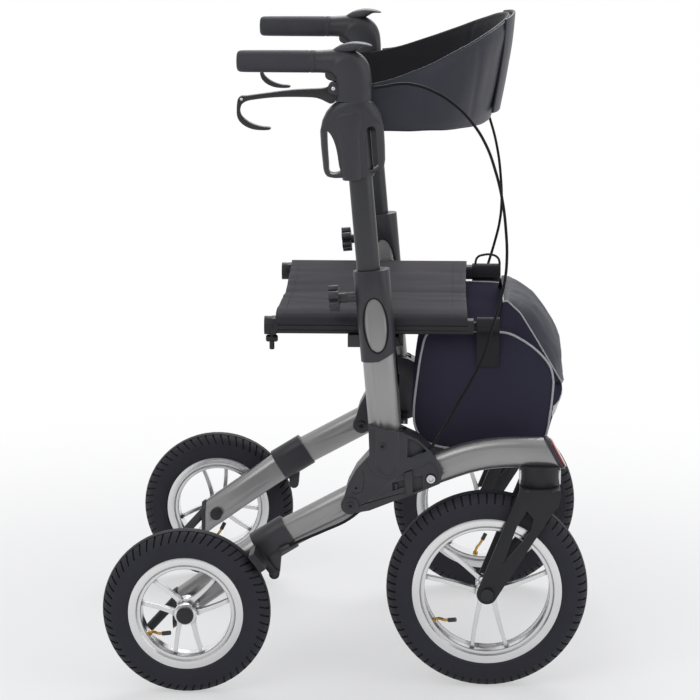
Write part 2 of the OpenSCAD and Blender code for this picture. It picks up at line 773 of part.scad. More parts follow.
module handle_body(side) color(black) on_side(side) {
    pivot = [lever_x, lever_z];
    difference() {
        union() {
            x_rod(side_y, grip_height, handle_core_r, grip_front_x - grip_l + core_end_gap, grip_front_x);
            x_rod(side_y, grip_height, elbow_tube_r, grip_front_x, elbow_x);
            translate([elbow_x, side_y, grip_height - elbow_r]) rotate([90, 0, 0])
                rotate_extrude(angle = 90) translate([elbow_r, 0]) circle(r = elbow_tube_r);
            on_post() translate([0, 0, handle_base])
                linear_extrude(handle_foot_h - elbow_r + grip_d / 2)
                    translate([-upper_post_set, 0]) oval(handle_foot_l, handle_foot_w);
            plate(side_y - fin_w / 2, side_y + fin_w / 2)
                translate([elbow_x, grip_height + grip_d / 2 - fin_h / 2])
                    polygon([for (s = fin_shares) [s[0] * fin_l, s[1] * fin_h]]);
            plate(side_y - nub_w / 2, side_y + nub_w / 2) translate([elbow_x, grip_height])
                polygon([for (s = nub_shares) [s[0] * nub_l, s[1] * nub_h]]);
            plate(side_y - lever_w / 2 - lever_ear_t, side_y + lever_w / 2 + lever_ear_t)
                translate(pivot) {
                    circle(r = lever_ear_r);
                    translate([0, -lever_ear_r]) square([lever_ear_r * 2, lever_ear_r * 2]);
                }
        }
        on_post() linear_extrude(upper_post_top + fit) upper_oval(fit);
        plate(side_y - lever_w / 2 - move_gap, side_y + lever_w / 2 + move_gap) translate(pivot) {
            circle(r = lever_ear_r + move_gap);
            translate([-cut, -cut]) square([cut, cut + lever_ear_r]);
        }
    }
    y_rod(pivot, lever_pin_r, side_y - lever_w / 2 - lever_ear_t, side_y + lever_w / 2 + lever_ear_t);
}

module grip(side) color(charcoal) on_side(side) difference() {
    x_rod(side_y, grip_height, grip_d / 2, grip_front_x - grip_l, grip_front_x);
    core_end = grip_front_x - grip_l + core_end_gap - fit;
    x_rod(side_y, grip_height, handle_core_r + fit, core_end, grip_front_x + cut);
}

module brake_lever(side) color(black) on_side(side) difference() {
    turn = (lever_boss_to - lever_boss_from) / lever_boss_steps;
    blade = [for (s = lever_shares) [s[0] * lever_l, s[1] * lever_h]];
    angles = [for (i = [0 : lever_boss_steps]) lever_boss_from + i * turn];
    boss = [for (a = angles) lever_boss_r * [cos(a), sin(a)]];
    plate(side_y - lever_w / 2, side_y + lever_w / 2)
        translate([lever_x, lever_z]) polygon(concat(blade, boss));
    y_rod([lever_x, lever_z], lever_pin_r + run_fit, side_y - lever_w, side_y + lever_w);
}

// Clamp knob, drawn on the post with its rod towards the post
module clamp_knob(side) color(black) on_side(side) on_post() {
    seat_x = -lower_post_l / 2 - collar_wall - boss_l - move_gap;
    tip_x = -upper_post_set - upper_post_l / 2 - rest_gap;
    head_x = seat_x - knob_neck_l;
    lobe_r = knob_d * knob_lobe_share;
    x_rod(0, clamp_h, clamp_rod_r, head_x, tip_x);
    x_rod(0, clamp_h, boss_r, head_x, seat_x);
    x_rod(0, clamp_h, knob_d / 2 - lobe_r, head_x - knob_t, head_x);
    for (i = [0 : knob_lobes - 1])
        translate([head_x, 0, clamp_h]) rotate([i * 360 / knob_lobes, 0, 0])
            x_rod(0, knob_d / 2 - lobe_r, lobe_r, -knob_t, 0);
}

module brake_arm(side) color(steel) on_side(side) difference() {
    arm_in = side_y + sleeve_out + move_gap;
    union() {
        plate(arm_in, arm_in + brake_arm_t) {
            translate(brake_at) circle(r = brake_boss_r);
            translate(brake_at) rotate(pad_angle) translate([-brake_arm_w / 2, 0])
                square([brake_arm_w, brake_arm_l]);
        }
        plate(arm_in, side_y + rear_wheel_offset + rear_tyre_w / 2)
            translate(pad_at) rotate(pad_angle) square([pad_t, pad_l], center = true);
    }
    y_rod(brake_at, pin_r + run_fit, side_y, side_y + cut);
}

// Brake cable: one tube swept along its route
function sub_y(p) = [p[0], side_y + p[1], p[2]];
function unit(v) = v / norm(v);
function route_dir(p, i) =
    i == 0 ? unit(p[1] - p[0]) :
    i == len(p) - 1 ? unit(p[i] - p[i - 1]) :
    unit(unit(p[i + 1] - p[i]) + unit(p[i] - p[i - 1]));
function ring(p, d, r, n) =
    let (s = unit(cross([0, 1, 0], d)), t = cross(d, s))
    [for (k = [0 : n - 1]) p + r * (cos(k * 360 / n) * s + sin(k * 360 / n) * t)];

module swept_tube(path, r, n) {
    last = len(path) - 1;
    points = [for (i = [0 : last]) each ring(path[i], route_dir(path, i), r, n)];
    sides = [for (i = [0 : last - 1], k = [0 : n - 1])
        let (a = i * n + k, b = i * n + (k + 1) % n)
        each [[a, a + n, b], [b, a + n, b + n]]];
    start = [for (k = [1 : n - 2]) [0, k, k + 1]];
    end = [for (k = [1 : n - 2]) [last * n, last * n + k + 1, last * n + k]];
    polyhedron(points, concat(sides, start, end));
}

module brake_cable(side) color(black) on_side(side)
    swept_tube([for (p = cable_route) sub_y(p)], cable_r, cable_sides);

// Fork and wheels

front_axle_at = [front_axle_x, front_r];

// A fork place, given as shares of the trail and the fork's height from the axle
function fork_at(s) = front_axle_at + [s[0] * caster_trail, s[1] * fork_h];

module fork(side) color(black) on_side(side) difference() {
    union() {
        for (y = [side_y - fork_in - fork_t, side_y + fork_in]) plate(y, y + fork_t) difference() {
            union() {
                polygon([for (s = fork_shares) fork_at(s)]);
                translate(front_axle_at) circle(r = fork_end_r);
            }
            polygon([for (s = fork_window_shares) fork_at(s)]);
        }
        translate([swivel_x - head_r, side_y - fork_in - fork_t, crown_top - crown_t])
            cube([2 * head_r, 2 * (fork_in + fork_t), crown_t]);
        translate([swivel_x, side_y, crown_top]) cylinder(h = stem_l, r = stem_r);
    }
    y_rod(front_axle_at, axle_r + fit, side_y - cut, side_y + cut);
}

module front_axle(side) color(steel) on_side(side) {
    axle_at = front_axle_at;
    out = fork_in + fork_t;
    y_rod(axle_at, axle_r, side_y - out, side_y + out);
    y_rod(axle_at, axle_head_r, side_y + out, side_y + out + axle_head_t);
    y_rod(axle_at, axle_head_r, side_y - out - axle_head_t, side_y - out);
}

// A wheel's own frame: its axis along Z, with +Z to the outside
module on_axle(x, y, z) translate([x, y, z]) rotate([-90, 0, 0]) children();

function spoke_turn(side) = side == right ? right_spoke_turn : left_spoke_turn;

// One spoke of a pair, from the hub out to the rim's bed
module spoke_outline(side, reach, tip_set) polygon([
    [0, side * spoke_root_set - spoke_root_w / 2], [reach, side * tip_set - spoke_tip_w / 2],
    [reach, side * tip_set + spoke_tip_w / 2], [0, side * spoke_root_set + spoke_root_w / 2]
]);

module rim(r, tyre_w, hub_half, turn) {
    w = tyre_w * rim_w_share;
    bed = r - rim_well;
    bore_r = axle_r + run_fit;
    rotate_extrude($fn = 96) polygon([
        [r, -w / 2], [r, -w / 2 + rim_wall / 2], [bed, -w / 2 + rim_well], [bed, w / 2 - rim_well],
        [r, w / 2 - rim_wall / 2], [r, w / 2], [r - rim_wall, w / 2], [bed - rim_wall, w / 2 - rim_well],
        [bed - rim_wall, -w / 2 + rim_well], [r - rim_wall, -w / 2]
    ]);
    difference() {
        union() {
            cylinder(h = 2 * hub_half, r = hub_r, center = true);
            for (i = [0 : spoke_pairs - 1], side = [-1, 1])
                rotate(i * 360 / spoke_pairs + turn)
                    translate([0, 0, spoke_set - spoke_t / 2]) linear_extrude(spoke_t)
                        spoke_outline(side, bed - rim_wall / 2, r * spoke_tip_share);
        }
        cylinder(h = 2 * hub_half + cut, r = bore_r, center = true);
    }
}

module tyre(outer_r, tyre_w, rim_r) rotate_extrude($fn = 96) difference() {
    translate([outer_r - tyre_w / 2, 0]) difference() {
        circle(d = tyre_w);
        circle(d = tyre_w - 2 * tyre_wall);
    }
    translate([0, -tyre_w]) square([rim_r + fit, 2 * tyre_w]);
    for (side = [-1, 1])
        translate([outer_r - 2 * tread_groove, side * tyre_w * tread_groove_share - tread_groove_w / 2])
            square([cut, tread_groove_w]);
}

module front_rim(side) color(bright) on_side(side)
    on_axle(front_axle_x, side_y, front_r)
        rim(front_rim_d / 2, front_tyre_w, fork_in - hub_gap, spoke_turn(side));

module front_tyre(side) color(black) on_side(side)
    on_axle(front_axle_x, side_y, front_r) tyre(front_r, front_tyre_w, front_rim_d / 2);

module rear_rim(side) color(bright) on_side(side)
    on_axle(rear_axle_x, side_y + rear_wheel_offset, rear_r)
        rim(rear_rim_d / 2, rear_tyre_w, rear_hub_half, spoke_turn(side));

module rear_tyre(side) color(black) on_side(side)
    on_axle(rear_axle_x, side_y + rear_wheel_offset, rear_r) tyre(rear_r, rear_tyre_w, rear_rim_d / 2);

// Seat rail with its end plug, its front rod and the ears of the upper fold pivot
module seat_rail(side) color(black) on_side(side) {
    front_x = rail_rear_x + rail_l;
    low = rail_height - rail_h / 2;
    translate([rail_rear_x, rail_y, rail_height]) rotate([90, 0, 90])
        linear_extrude(rail_l) round_rect(rail_w, rail_h, rail_corner);
    x_rod(rail_y, rail_height, rail_cap_r, rail_rear_x - rail_cap_t, rail_rear_x);
    x_rod(rail_y, rail_height, rail_rod_r, front_x, front_x + rail_rod_l);
    for (x = [barrel_x - ear_t - move_gap, barrel_x + barrel_l + move_gap]) {
        x_rod(rail_y, upper_pivot_z, barrel_d / 2, x, x + ear_t);
        translate([x, rail_y - barrel_d / 2, upper_pivot_z])
            cube([ear_t, barrel_d, low - upper_pivot_z + rail_corner]);
    }
    x_rod(rail_y, upper_pivot_z, pin_r, barrel_x - ear_t, barrel_x + barrel_l + ear_t);
    if (side == right) {
        hook_x = rail_rear_x - rail_cap_t / 2;
        translate([hook_x, rail_y, rail_height - hook_drop - hook_tail])
            cylinder(h = hook_drop + hook_tail, r = hook_r);
        x_rod(rail_y, rail_height - hook_drop, hook_r, hook_x - hook_bar_l / 2, hook_x + hook_bar_l / 2);
    }
}

// Folding cross: bar a rises from the right bracket to the left rail, and bar b the other way
module cross_bar(x, side) {
    difference() {
        union() {
            x_rod(side * rail_y, pivot_height, barrel_d / 2, barrel_x, barrel_x + barrel_l);
            x_rod(-side * rail_y, upper_pivot_z, barrel_d / 2, barrel_x, barrel_x + barrel_l);
            translate([x, side * rail_y, pivot_height]) rotate([side * (90 - bar_angle), 0, 0])
                cylinder(h = bar_l, r = bar_d / 2);
            x_rod(0, centre_z, centre_boss_r, x - centre_boss_l / 2, x + centre_boss_l / 2);
        }
        x_rod(side * rail_y, pivot_height, pin_r + run_fit, barrel_x - cut, barrel_x + barrel_l + cut);
        x_rod(-side * rail_y, upper_pivot_z, pin_r + run_fit, barrel_x - cut, barrel_x + barrel_l + cut);
        children();
    }
}

module cross_bar_a() color(black) cross_bar(bar_a_x, right)
    x_rod(0, centre_z, centre_pin_r + run_fit, bar_a_x - cut, bar_a_x + cut);

module cross_bar_b() color(black) {
    cross_bar(bar_b_x, left);
    x_rod(0, centre_z, centre_pin_r, bar_a_x - centre_boss_l / 2, bar_b_x);
}

// Soft goods

// Seat sling: one cross-section, from hem to hem over both rails, drawn along the rails
module seat() {
    over = rail_w / 2 + rest_gap;
    top = rail_h / 2 + rest_gap;
    function hang(t, g) = [t * (rail_y - over), top + g - seat_sag * (1 - t * t)];
    function hem(side, g, a) = let (r = rail_corner + rest_gap + g)
        [side * (rail_y + rail_w / 2 - rail_corner + r * cos(a)), rail_h / 2 - rail_corner + r * sin(a)];
    function edge(side, g) = concat(
        [[side * (rail_y - over), top + g]],
        [for (i = [0 : hem_steps]) hem(side, g, 90 - 90 * i / hem_steps)],
        [[side * (rail_y + over + g), -rail_corner]]
    );
    function swap(list) = [for (i = [len(list) - 1 : -1 : 0]) list[i]];
    function path(g) = concat(
        swap(edge(-1, g)), [for (i = [1 : seat_steps - 1]) hang(2 * i / seat_steps - 1, g)], edge(1, g));
    color(grey_cloth) translate([rail_rear_x + hem_gap, 0, rail_height]) rotate([90, 0, 90])
        linear_extrude(rail_l - 2 * hem_gap) polygon(concat(path(fabric_t), swap(path(0))));
}

// Bag: side panel outline across its width, a fuller front flap, and straps round the rail rods
// A bag place, given as shares of the side panel's size from its rear lower corner
function bag_at(s) = [bag_rear_x + s[0] * bag_l, bag_top - bag_h + s[1] * bag_h];

module bag() color(navy_cloth) {
    rod_x = rail_rear_x + rail_l + strap_from;
    loop_in = rail_rod_r + rest_gap;
    plate(-bag_w / 2, bag_w / 2) polygon([for (s = bag_shares) bag_at(s)]);
    plate(-flap_w / 2, flap_w / 2) polygon([for (s = flap_shares) bag_at(s)]);
    for (side = [right, left]) on_side(side) difference() {
        union() {
            x_rod(rail_y, rail_height, loop_in + fabric_t, rod_x, rod_x + strap_l);
            translate([rod_x, rail_y - loop_in - fabric_t, bag_top - bag_h / 3])
                cube([strap_l, fabric_t, rail_height - bag_top + bag_h / 3]);
            translate([rod_x, bag_w / 2, bag_top - bag_h / 3])
                cube([strap_l, rail_y - loop_in - bag_w / 2, bag_h / 6]);
        }
        x_rod(rail_y, rail_height, loop_in, rod_x - cut, rod_x + strap_l + cut);
    }
}

// Padded back band: rounded rings along a forward bow from handle to handle
function band_ring(i) =
    let (a = -90 + 180 * i / band_rings, b = cos(a),
        half_w = side_y - handle_foot_w / 2 - rest_gap - band_end_t / 2,
        d = unit([-band_reach * sin(a), half_w * b, 0]), out = [d[1], -d[0], 0],
        h = band_end_h + (band_h - band_end_h) * pow(b, band_swell_share),
        t = band_end_t + (band_t - band_end_t) * b,
        mid = [band_end_x + band_reach * b, half_w * sin(a), grip_height - band_drop + h / 2],
        up = [0, 0, cos(band_lean * b)] + out * sin(band_lean * b))
    [for (k = [0 : band_sides - 1]) let (c = 360 * k / band_sides)
        mid + up * h / 2 * sin(c) + out * t / 2 * cos(c)];

module back_band() {
    n = band_sides;
    points = [for (i = [0 : band_rings]) each band_ring(i)];
    sides = [for (i = [0 : band_rings - 1], k = [0 : n - 1])
        let (a = i * n + k, b = i * n + (k + 1) % n)
        each [[a, b, a + n], [b, b + n, a + n]]];
    start = [for (k = [1 : n - 2]) [0, k + 1, k]];
    end = [for (k = [1 : n - 2]) [band_rings * n, band_rings * n + k, band_rings * n + k + 1]];
    color(navy_cloth) polyhedron(points, concat(sides, start, end));
}

main_tube(right);  // right_main_tube
leg_tube(right);  // right_leg_tube
tube_sleeve(right);  // right_tube_sleeve
front_cap(right);  // right_front_cap
reflector(right);  // right_reflector
rear_cap(right);  // right_rear_cap
bracket(right);  // right_bracket
fasteners(right);  // right_fasteners
lower_post(right);  // right_lower_post
collar(right);  // right_collar
caster_head(right);  // right_caster_head
rear_axle(right);  // right_rear_axle
upper_post(right);  // right_upper_post
shroud(right);  // right_shroud
handle_body(right);  // right_handle_body
grip(right);  // right_grip
brake_lever(right);  // right_brake_lever
clamp_knob(right);  // right_clamp_knob
brake_arm(right);  // right_brake_arm
brake_cable(right);  // right_brake_cable
fork(right);  // right_fork
front_axle(right);  // right_front_axle
front_rim(right);  // right_front_rim
front_tyre(right);  // right_front_tyre
rear_rim(right);  // right_rear_rim
rear_tyre(right);  // right_rear_tyre
seat_rail(right);  // right_seat_rail
main_tube(left);  // left_main_tube
leg_tube(left);  // left_leg_tube
tube_sleeve(left);  // left_tube_sleeve
front_cap(left);  // left_front_cap
reflector(left);  // left_reflector
rear_cap(left);  // left_rear_cap
bracket(left);  // left_bracket
fasteners(left);  // left_fasteners
lower_post(left);  // left_lower_post
collar(left);  // left_collar
caster_head(left);  // left_caster_head
rear_axle(left);  // left_rear_axle
upper_post(left);  // left_upper_post
shroud(left);  // left_shroud
handle_body(left);  // left_handle_body
grip(left);  // left_grip
brake_lever(left);  // left_brake_lever
clamp_knob(left);  // left_clamp_knob
brake_arm(left);  // left_brake_arm
brake_cable(left);  // left_brake_cable
fork(left);  // left_fork
front_axle(left);  // left_front_axle
front_rim(left);  // left_front_rim
front_tyre(left);  // left_front_tyre
rear_rim(left);  // left_rear_rim
rear_tyre(left);  // left_rear_tyre
seat_rail(left);  // left_seat_rail
cross_bar_a();
cross_bar_b();
seat();
bag();
back_band();
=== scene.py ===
# %% [markdown]
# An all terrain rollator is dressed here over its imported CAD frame.
# The frame comes first, because every piece below sits on it and rides with one of its bodies.

# %% Load the frame
import json
import math
import bpy
from mathutils import Matrix, Vector, noise

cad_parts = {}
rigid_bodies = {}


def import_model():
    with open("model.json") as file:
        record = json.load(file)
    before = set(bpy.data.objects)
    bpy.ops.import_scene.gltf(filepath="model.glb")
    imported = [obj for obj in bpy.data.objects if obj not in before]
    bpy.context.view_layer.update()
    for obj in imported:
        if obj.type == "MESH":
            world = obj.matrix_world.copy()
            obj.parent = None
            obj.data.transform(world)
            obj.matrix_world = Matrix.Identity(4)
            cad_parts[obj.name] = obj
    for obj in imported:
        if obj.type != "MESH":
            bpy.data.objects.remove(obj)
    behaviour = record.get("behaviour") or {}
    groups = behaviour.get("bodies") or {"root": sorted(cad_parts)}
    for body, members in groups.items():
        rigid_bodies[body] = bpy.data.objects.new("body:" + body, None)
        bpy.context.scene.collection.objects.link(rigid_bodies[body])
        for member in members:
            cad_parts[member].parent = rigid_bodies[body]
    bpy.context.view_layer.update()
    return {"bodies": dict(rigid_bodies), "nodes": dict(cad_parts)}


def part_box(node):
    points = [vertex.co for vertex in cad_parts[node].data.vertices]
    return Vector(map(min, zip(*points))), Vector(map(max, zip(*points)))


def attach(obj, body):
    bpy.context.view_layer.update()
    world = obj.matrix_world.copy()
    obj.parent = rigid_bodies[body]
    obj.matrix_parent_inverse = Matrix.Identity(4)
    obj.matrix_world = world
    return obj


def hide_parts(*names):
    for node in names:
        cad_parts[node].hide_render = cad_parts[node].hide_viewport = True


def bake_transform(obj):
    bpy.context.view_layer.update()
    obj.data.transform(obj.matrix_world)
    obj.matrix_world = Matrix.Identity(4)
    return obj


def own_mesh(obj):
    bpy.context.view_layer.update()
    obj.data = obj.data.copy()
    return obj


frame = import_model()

nodes = frame["nodes"]
scene = bpy.context.scene
node_body = {n: next(b for b, e in frame["bodies"].items() if e == o.parent) for n, o in nodes.items()}
MM = 0.001
SIDES = {"right": -1, "left": 1}
SIDE_Y, RAIL_Y, RAIL_Z, GRIP_Z = 260 * MM, 226 * MM, 549 * MM, 950 * MM
LEAN = math.radians(5)

# %% [markdown]
# The camera stands where the photographer stood: 4.8 m away, looking 12 degrees down and 2 degrees back.
# A long lens keeps the far wheels almost as large as the near ones, so it is set by number and not by eye.

# %% Camera
CAMERA_PLACE, LOOK_DOWN, LOOK_BACK, LENS = (0.1597, -4.5454, 1.4249), 11.932, 2.0565, 150.97
bpy.ops.object.camera_add(
    location=CAMERA_PLACE, rotation=(math.radians(90 - LOOK_DOWN), 0, math.radians(LOOK_BACK)))
camera = bpy.context.object
camera.data.sensor_width = 36
camera.data.lens = LENS
scene.camera = camera
scene.view_settings.view_transform = "Standard"
print("camera: lens", camera.data.lens)

# %% [markdown]
# Most steps act on one piece, so these helpers leave edit mode, clear the selection and pick that piece.
# Everything is deselected first, because operators act on all that is selected.

# %% Helpers for picking and finishing a piece
def put_down():
    if bpy.context.object and bpy.context.object.mode != "OBJECT":
        bpy.ops.object.mode_set(mode="OBJECT")
    bpy.ops.object.select_all(action="DESELECT")


def pick(piece):
    put_down()
    piece.select_set(True)
    bpy.context.view_layer.objects.active = piece
    return piece


def edit(piece):
    pick(piece)
    bpy.ops.object.mode_set(mode="EDIT")
    bpy.ops.mesh.select_mode(type="VERT")
    bpy.ops.mesh.select_all(action="SELECT")


def choose(piece, kind, wanted):
    """Selects the faces or vertices that pass the test, and leaves the piece in edit mode."""
    edit(piece)
    bpy.ops.mesh.select_mode(type=kind)
    bpy.ops.mesh.select_all(action="DESELECT")
    bpy.ops.object.mode_set(mode="OBJECT")
    elements = piece.data.polygons if kind == "FACE" else piece.data.vertices
    for element in elements:
        element.select = bool(wanted(element))
    count = sum(element.select for element in elements)
    bpy.ops.object.mode_set(mode="EDIT")
    return count


def modifier(piece, kind, **values):
    """Adds a modifier, sets it and applies it."""
    pick(piece)
    step = piece.modifiers.new(kind.lower(), kind)
    for key, value in values.items():
        setattr(step, key, value)
    bpy.ops.object.modifier_apply(modifier=step.name)


def round_edges(piece, width, segments=2, angle=50, **more):
    """Rounds the edges that are sharper than an angle, by a width in millimetres."""
    modifier(piece, "BEVEL", width=width * MM, segments=segments, limit_method="ANGLE",
             angle_limit=math.radians(angle), **more)
    return piece


def settle(piece, angle=35):
    """Puts the piece's place into its mesh and smooths it up to an angle."""
    pick(piece)
    bpy.ops.object.transform_apply(location=True, rotation=True, scale=True)
    bpy.ops.object.shade_smooth_by_angle(angle=math.radians(angle))
    return piece


def face_outward(piece):
    edit(piece)
    bpy.ops.mesh.normals_make_consistent(inside=False)
    put_down()


def clean(piece, distance=1e-6):
    edit(piece)
    bpy.ops.mesh.remove_doubles(threshold=distance)
    face_outward(piece)
    return piece


def join(parts):
    pick(parts[0])
    for part in parts:
        part.select_set(True)
    bpy.ops.object.join()
    return bpy.context.object


def copy_of(piece, name):
    twin = piece.copy()
    twin.data = piece.data.copy()
    twin.name = name
    scene.collection.objects.link(twin)
    return twin


def moved(piece, place):
    for v in piece.data.vertices:
        v.co += Vector(place)
    return piece


def scaled(points):
    """Points in metres, from points in millimetres."""
    return [tuple(c * MM for c in p) for p in points]


def dress(piece, name, body, slot, finish, *stands_for):
    """Names a finished piece, gives it its finish and lets it ride on its body."""
    piece.name = name
    piece.data.name = name
    if finish is not None:
        piece.data.materials.clear()
        piece.data.materials.append(finish)
    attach(piece, body)
    if stands_for:
        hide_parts(*stands_for)
    return piece


def stand_in(piece, name, node, slot, finish):
    """Dresses a piece that takes the place of a CAD node."""
    return dress(piece, name, node_body[node], slot, finish, node)


print("helpers ready")

# %% [markdown]
# Floor, world and finishes are all made of shader nodes. A node is added, set and linked in one go here, because
# a list of sockets with what feeds them is easier to read than one line for each link.

# %% Helpers for shader nodes
def add(tree, kind, sockets=(), **options):
    """Adds a node, sets its options, and gives each socket a value or another node's output."""
    made = tree.nodes.new("ShaderNode" + kind)
    for key, value in options.items():
        setattr(made, key, value)
    for label, value in dict(sockets).items():
        if isinstance(value, bpy.types.NodeSocket):
            tree.links.new(value, made.inputs[label])
        else:
            made.inputs[label].default_value = value
    return made


def math_of(tree, operation, a, b):
    return add(tree, "Math", {0: a, 1: b}, operation=operation).outputs[0]


def noise_of(tree, place, scale, detail):
    return add(tree, "TexNoise", {"Vector": place, "Scale": scale, "Detail": detail}).outputs["Fac"]


def range_of(tree, value, sockets, **options):
    return add(tree, "MapRange", {"Value": value, **sockets}, **options).outputs["Result"]


def own_place(tree):
    return add(tree, "TexCoord").outputs["Object"]


print("node helpers ready")

# %% [markdown]
# The studio is a wide pale floor that fills the view, with big soft lamps.
# Far from the object the floor glows white for the camera, as an overexposed backdrop does, and close to it
# the floor is plain and keeps the shadow.

# %% Studio floor
FLOOR_WIDE, SHADOW_NEAR, SHADOW_FAR, NEAR_GLOW = 80, 0.35, 1.7, 0.5
put_down()
bpy.ops.mesh.primitive_plane_add(size=FLOOR_WIDE)
floor = bpy.context.object
floor.name = "studio_floor"
edit(floor)
bpy.ops.mesh.subdivide(number_cuts=7)
put_down()
paper = bpy.data.materials.new("studio paper")
paper.use_nodes = True
tree = paper.node_tree
tree.nodes.clear()
far = add(tree, "VectorMath", {0: own_place(tree)}, operation="LENGTH").outputs["Value"]
fade = range_of(tree, far, {"From Min": SHADOW_NEAR, "From Max": SHADOW_FAR, "To Min": NEAR_GLOW},
                interpolation_type="SMOOTHSTEP")
rays = add(tree, "LightPath").outputs
seen = math_of(tree, "MAXIMUM", rays["Is Camera Ray"], rays["Is Glossy Ray"])
matt = add(tree, "BsdfDiffuse", {"Color": (0.86, 0.86, 0.88, 1)})
glow = add(tree, "Emission", {"Strength": 1})
mix = add(tree, "MixShader", {"Fac": math_of(tree, "MULTIPLY", seen, fade), 1: matt.outputs[0],
                              2: glow.outputs[0]})
add(tree, "OutputMaterial", {"Surface": mix.outputs[0]})
floor.data.materials.append(paper)
print("floor:", FLOOR_WIDE, "m wide")

# %% [markdown]
# Product photographs are lit by large lamps, so that no shadow has a hard edge. Three area lamps point at the
# middle of the object: a key from the left, a weaker fill from the right and a strong one behind it.
# The world is white where it is seen, dimmer where it is mirrored from the camera's side, and gives only a
# little light of its own, so that dark pieces stay dark and round ones show their form.

# %% Lamps and world
LAMPS_AIM = Vector((0.05, 0, 0.45))
AIR_COLOUR, AIR_LIGHT, MIRRORED_LEVEL = (0.93, 0.95, 1, 1), 0.34, 0.35
for name, place, size, power in (("key_lamp", (-1.5, -2.9, 2.9), 2.6, 40), ("fill_lamp", (2.9, -2.0, 1.9), 2.6, 24),
                                 ("back_lamp", (0.5, 2.6, 3.4), 2.8, 92)):
    bpy.ops.object.light_add(type="AREA", location=place)
    lamp = bpy.context.object
    lamp.name = name
    lamp.data.size = size
    lamp.data.energy = power
    lamp.rotation_euler = (LAMPS_AIM - Vector(place)).to_track_quat("-Z", "Y").to_euler()
world = bpy.data.worlds.new("studio air")
scene.world = world
world.use_nodes = True
air = world.node_tree
air.nodes.clear()
rays = add(air, "LightPath").outputs
way = add(air, "SeparateXYZ", {0: add(air, "TexCoord").outputs["Generated"]})
dim = range_of(air, way.outputs["Y"], {"From Min": -0.95, "From Max": 0.1, "To Min": MIRRORED_LEVEL})
white = add(air, "Background", {"Color": (1, 1, 1, 1),
                                "Strength": math_of(air, "MAXIMUM", dim, rays["Is Camera Ray"])})
light = add(air, "Background", {"Color": AIR_COLOUR, "Strength": AIR_LIGHT})
looked_at = math_of(air, "MAXIMUM", rays["Is Camera Ray"], rays["Is Glossy Ray"])
mix = add(air, "MixShader", {"Fac": math_of(air, "MAXIMUM", looked_at, rays["Is Transmission Ray"]),
                             1: light.outputs[0], 2: white.outputs[0]})
add(air, "OutputWorld", {"Surface": mix.outputs[0]})
print("lamps: three, and a pale world")

# %% [markdown]
# Each finish is a Principled shader fed by small node groups that several finishes share.
# Grain gives moulded plastic and paint their fine unevenness, brushing gives metal its fine lines, and weave gives
# cloth its threads. One group paints a highlight in patches along edges and corners, and the crevice shade paints
# shade into grooves and inner corners, where little light gets in.
# Groups are chosen over copied nodes, because one change then reaches every finish.

# %% Node groups that the finishes share
def new_group(name, inputs):
    """A node group with number inputs, and the sockets that give them inside it."""
    group = bpy.data.node_groups.new(name, "ShaderNodeTree")
    for label, value in inputs.items():
        socket = group.interface.new_socket(label, in_out="INPUT", socket_type="NodeSocketFloat")
        socket.default_value = value
    return group, group.nodes.new("NodeGroupInput").outputs


def give_out(group, results):
    """Makes a group's outputs and links its results to them."""
    for label in results:
        group.interface.new_socket(label, in_out="OUTPUT", socket_type="NodeSocketFloat")
    out = group.nodes.new("NodeGroupOutput")
    for label, result in results.items():
        group.links.new(result, out.inputs[label])


grain, given = new_group("fine grain", {"Scale": 900, "Patches": 14})
place = own_place(grain)
give_out(grain, {"Height": noise_of(grain, place, given["Scale"], 2),
                 "Tone": noise_of(grain, place, given["Patches"], 4)})

brushing, given = new_group("brushing", {"Length": 6, "Lines": 700})
place = own_place(brushing)
size = add(brushing, "CombineXYZ", {"X": given["Length"], "Y": given["Lines"], "Z": given["Lines"]})
drawn = add(brushing, "VectorMath", {0: place, 1: size.outputs[0]}, operation="MULTIPLY")
give_out(brushing, {"Height": noise_of(brushing, drawn.outputs[0], 1, 3), "Tone": noise_of(brushing, place, 9, 3)})

weave, given = new_group("weave", {"Threads": 900, "Creases": 16})
place = own_place(weave)
parts = add(weave, "SeparateXYZ", {0: place}).outputs
x, y, z = (math_of(weave, "SINE", math_of(weave, "MULTIPLY", parts[axis], given["Threads"]), 0) for axis in "XYZ")
crossing = math_of(weave, "ADD", math_of(weave, "MULTIPLY", x, y),
                   math_of(weave, "MULTIPLY", z, math_of(weave, "ADD", x, y)))
give_out(weave, {"Height": math_of(weave, "ADD", math_of(weave, "MULTIPLY", crossing, 0.35),
                                   noise_of(weave, place, 1400, 2)),
                 "Tone": noise_of(weave, place, 7, 3), "Crease": noise_of(weave, place, given["Creases"], 5)})

# Painted highlight: a lighter colour in patches along edges and corners, where the surface bends sharply.
highlit, given = new_group("rubbed edges", {"Reach": 0.0012, "Patches": 60})
bevel = add(highlit, "Bevel", {"Radius": given["Reach"]}, samples=4)
true = add(highlit, "NewGeometry").outputs["Normal"]
bend = add(highlit, "VectorMath", {0: bevel.outputs[0], 1: true}, operation="DOT_PRODUCT").outputs["Value"]
give_out(highlit, {"Mask": math_of(highlit, "MULTIPLY", range_of(highlit, bend, {"From Min": 0.995, "From Max": 0.93}),
                                  noise_of(highlit, own_place(highlit), given["Patches"], 4))})

# Painted shade: crevices made darker where the ambient occlusion finds nearby surfaces.
crevice, given = new_group("crevice shade", {"Reach": 0.008})
near = add(crevice, "AmbientOcclusion", {"Distance": given["Reach"]}, samples=8, only_local=True).outputs["AO"]
give_out(crevice, {"Mask": range_of(crevice, near, {"From Min": 0.92, "From Max": 0.45})})
print("groups:", ", ".join(g.name for g in (grain, brushing, weave, highlit, crevice)))
